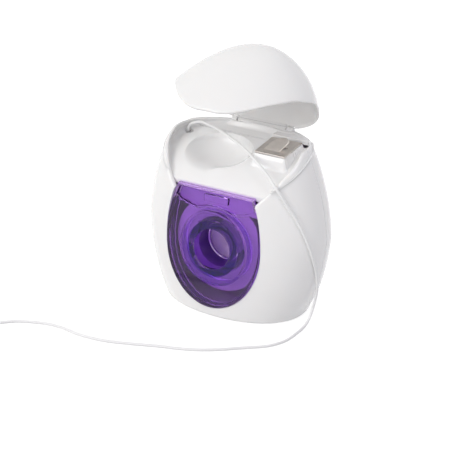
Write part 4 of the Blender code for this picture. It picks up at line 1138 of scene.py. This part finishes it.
class DISPENSER_OT_floss(bpy.types.Operator):
    """Add the floss that is drawn out, with its coil, and the run inside the case"""
    bl_idname = "dispenser.floss"
    bl_label = "Floss"

    def execute(self, context):
        floss = context.scene.dispenser_floss
        coil = coil_points()
        heading = (coil[1] - coil[0]) / np.linalg.norm(coil[1] - coil[0])
        lead = coil[0] - heading * 4 * FLOSS_DIAMETER
        path = smooth_through(np.vstack((FLOSS_ROUTE, lead, coil)), 1500)
        finish = floss_fibre("drawn_fibre", floss.color, 0.45, (4000.0, 4000.0, 350.0), "straight")
        drawn = piece("drawn_floss", floss_tube(path, floss.sides, floss.twist), finish, "case", "floss",
                      "floss_strand", "floss_coil", crease=80.0)
        hole_x, hole_y = HOLE_PLACE
        rise = FLOSS_ROUTE[0, 2] - GAP
        reach = WINDING_RADIUS + GAP + FLOSS_DIAMETER / 2
        knee = (hole_x, rise - 3 * HOLE_RADIUS - WINDOW_CENTRE[2])
        angle = math.atan2(knee[1], knee[0]) + math.acos(reach / math.hypot(*knee))
        start = np.array((reach * math.cos(angle), INNER_RUN_START,
                          WINDOW_CENTRE[2] + reach * math.sin(angle)))
        below = np.array((hole_x, hole_y, rise - 2 * HOLE_RADIUS))
        inner = smooth_through([start, (start + below) / 2, below, (hole_x, hole_y, rise)], 120)
        piece("floss_feed", floss_tube(inner, floss.sides, floss.twist), finish, "case", "floss",
              "floss_inner_run", crease=80.0)
        return {"FINISHED"}


class DISPENSER_OT_stage(bpy.types.Operator):
    """Add the floor, the world, the lamps and the camera"""
    bl_idname = "dispenser.stage"
    bl_label = "Stage"

    @staticmethod
    def lamp(name, place, size, power, color):
        """A square lamp at a place, turned to the object."""
        light = bpy.data.lights.new(name, "AREA")
        light.size, light.energy, light.color = size, power, color
        made = linked(name, light)
        made.location = place
        made.rotation_euler = (Vector(LAMP_AIM) - Vector(place)).to_track_quat("-Z", "Y").to_euler()

    def execute(self, context):
        scene, stage = context.scene, context.scene.dispenser_stage
        scene.view_settings.view_transform = "Standard"
        share = np.linspace(-FLOOR_HALF, FLOOR_HALF, 3)
        across, back = np.meshgrid(share, share)
        points = np.stack((across, back, 0 * across - FLOOR_DROP), axis=-1).reshape(-1, 3)
        mesh = bpy.data.meshes.new("floor")
        mesh.from_pydata(points.tolist(), [], grid_faces(3, 3).tolist())
        floor = linked("floor", mesh)
        finish = Finish("floor_white", Roughness=1.0, Specular_IOR_Level=0.0)
        finish.set("Base Color", (FLOOR_GREY, FLOOR_GREY, FLOOR_GREY, 1.0))
        finish.set("Emission Color", finish.blend(finish.seen(), BLACK, WHITE))
        finish.set("Emission Strength", stage.floor_glow)
        mesh.materials.append(finish.material)
        self.world(scene, stage)
        for name, power, place, size, color in LAMPS:
            self.lamp(name, place, size, getattr(stage, power), color)
        self.camera(scene)
        return {"FINISHED"}

    @staticmethod
    def world(scene, stage):
        """White where it is seen. Elsewhere it is a soft light from all round, stronger and warmer from
        the front left than from the back right."""
        world = bpy.data.worlds.new("studio")
        world.use_nodes = True
        scene.world = world
        nodes = Nodes(world.node_tree)
        background = world.node_tree.nodes["Background"]
        side = nodes.node("ShaderNodeVectorMath", {"operation": "DOT_PRODUCT"},
                          {0: nodes.place("Generated"), 1: stage.bright_side}, 1)
        share = nodes.fade(side, -0.9, 0.7)
        light = nodes.blend(share, stage.dim_light, stage.bright_light)
        nodes.feed(background.inputs["Color"], nodes.blend(nodes.seen(), light, WHITE))

    @staticmethod
    def camera(scene):
        """A camera at the photo's angle: turned about the object, raised, and rolled by a degree."""
        turn, lift, roll = CAMERA_TURN, CAMERA_LIFT, CAMERA_ROLL
        back = Vector((math.sin(turn) * math.cos(lift), -math.cos(turn) * math.cos(lift), math.sin(lift)))
        right = Vector((math.cos(turn), math.sin(turn), 0.0))
        up = back.cross(right)
        across = right * math.cos(roll) + up * math.sin(roll)
        above = up * math.cos(roll) - right * math.sin(roll)
        data = bpy.data.cameras.new("camera")
        data.lens, data.sensor_width = CAMERA_LENS, CAMERA_SENSOR
        pose = Matrix((across, above, back)).transposed().to_4x4()
        pose.translation = (right * CAMERA_ACROSS * MM + Vector((0, 0, CAMERA_LEVEL * MM))
                            + back * CAMERA_DISTANCE * MM)
        scene.camera = linked("camera", data)
        scene.camera.matrix_world = pose


OPERATORS = (
    DISPENSER_OT_stage, DISPENSER_OT_floss, DISPENSER_OT_front_shell, DISPENSER_OT_rear_shell,
    DISPENSER_OT_lid, DISPENSER_OT_window, DISPENSER_OT_cutter, DISPENSER_OT_spool,
)
SETTINGS = {
    "dispenser_case": CaseSettings, "dispenser_window": WindowSettings, "dispenser_cutter": CutterSettings,
    "dispenser_floss": FlossSettings, "dispenser_stage": StageSettings,
}


class DISPENSER_PT_panel(bpy.types.Panel):
    """Lists the settings and the operators"""
    bl_idname = "DISPENSER_PT_panel"
    bl_label = "Floss Dispenser"
    bl_space_type = "VIEW_3D"
    bl_region_type = "UI"
    bl_category = "Dispenser"

    def draw(self, context):
        for name, group in SETTINGS.items():
            box = self.layout.box()
            for key in group.__annotations__:
                box.prop(getattr(context.scene, name), key)
        for operator in OPERATORS:
            self.layout.operator(operator.bl_idname)


def register():
    """Register the classes and the settings."""
    for made in (*SETTINGS.values(), *OPERATORS, DISPENSER_PT_panel):
        bpy.utils.register_class(made)
    for name, group in SETTINGS.items():
        setattr(bpy.types.Scene, name, PointerProperty(type=group))


def unregister():
    """Remove the settings and the classes."""
    for name in SETTINGS:
        delattr(bpy.types.Scene, name)
    for made in (DISPENSER_PT_panel, *reversed(OPERATORS), *reversed(SETTINGS.values())):
        bpy.utils.unregister_class(made)


def main():
    """Add every piece."""
    register()
    for operator in OPERATORS:
        group, name = operator.bl_idname.split(".")
        getattr(getattr(bpy.ops, group), name)()


if __name__ == "__main__":
    main()
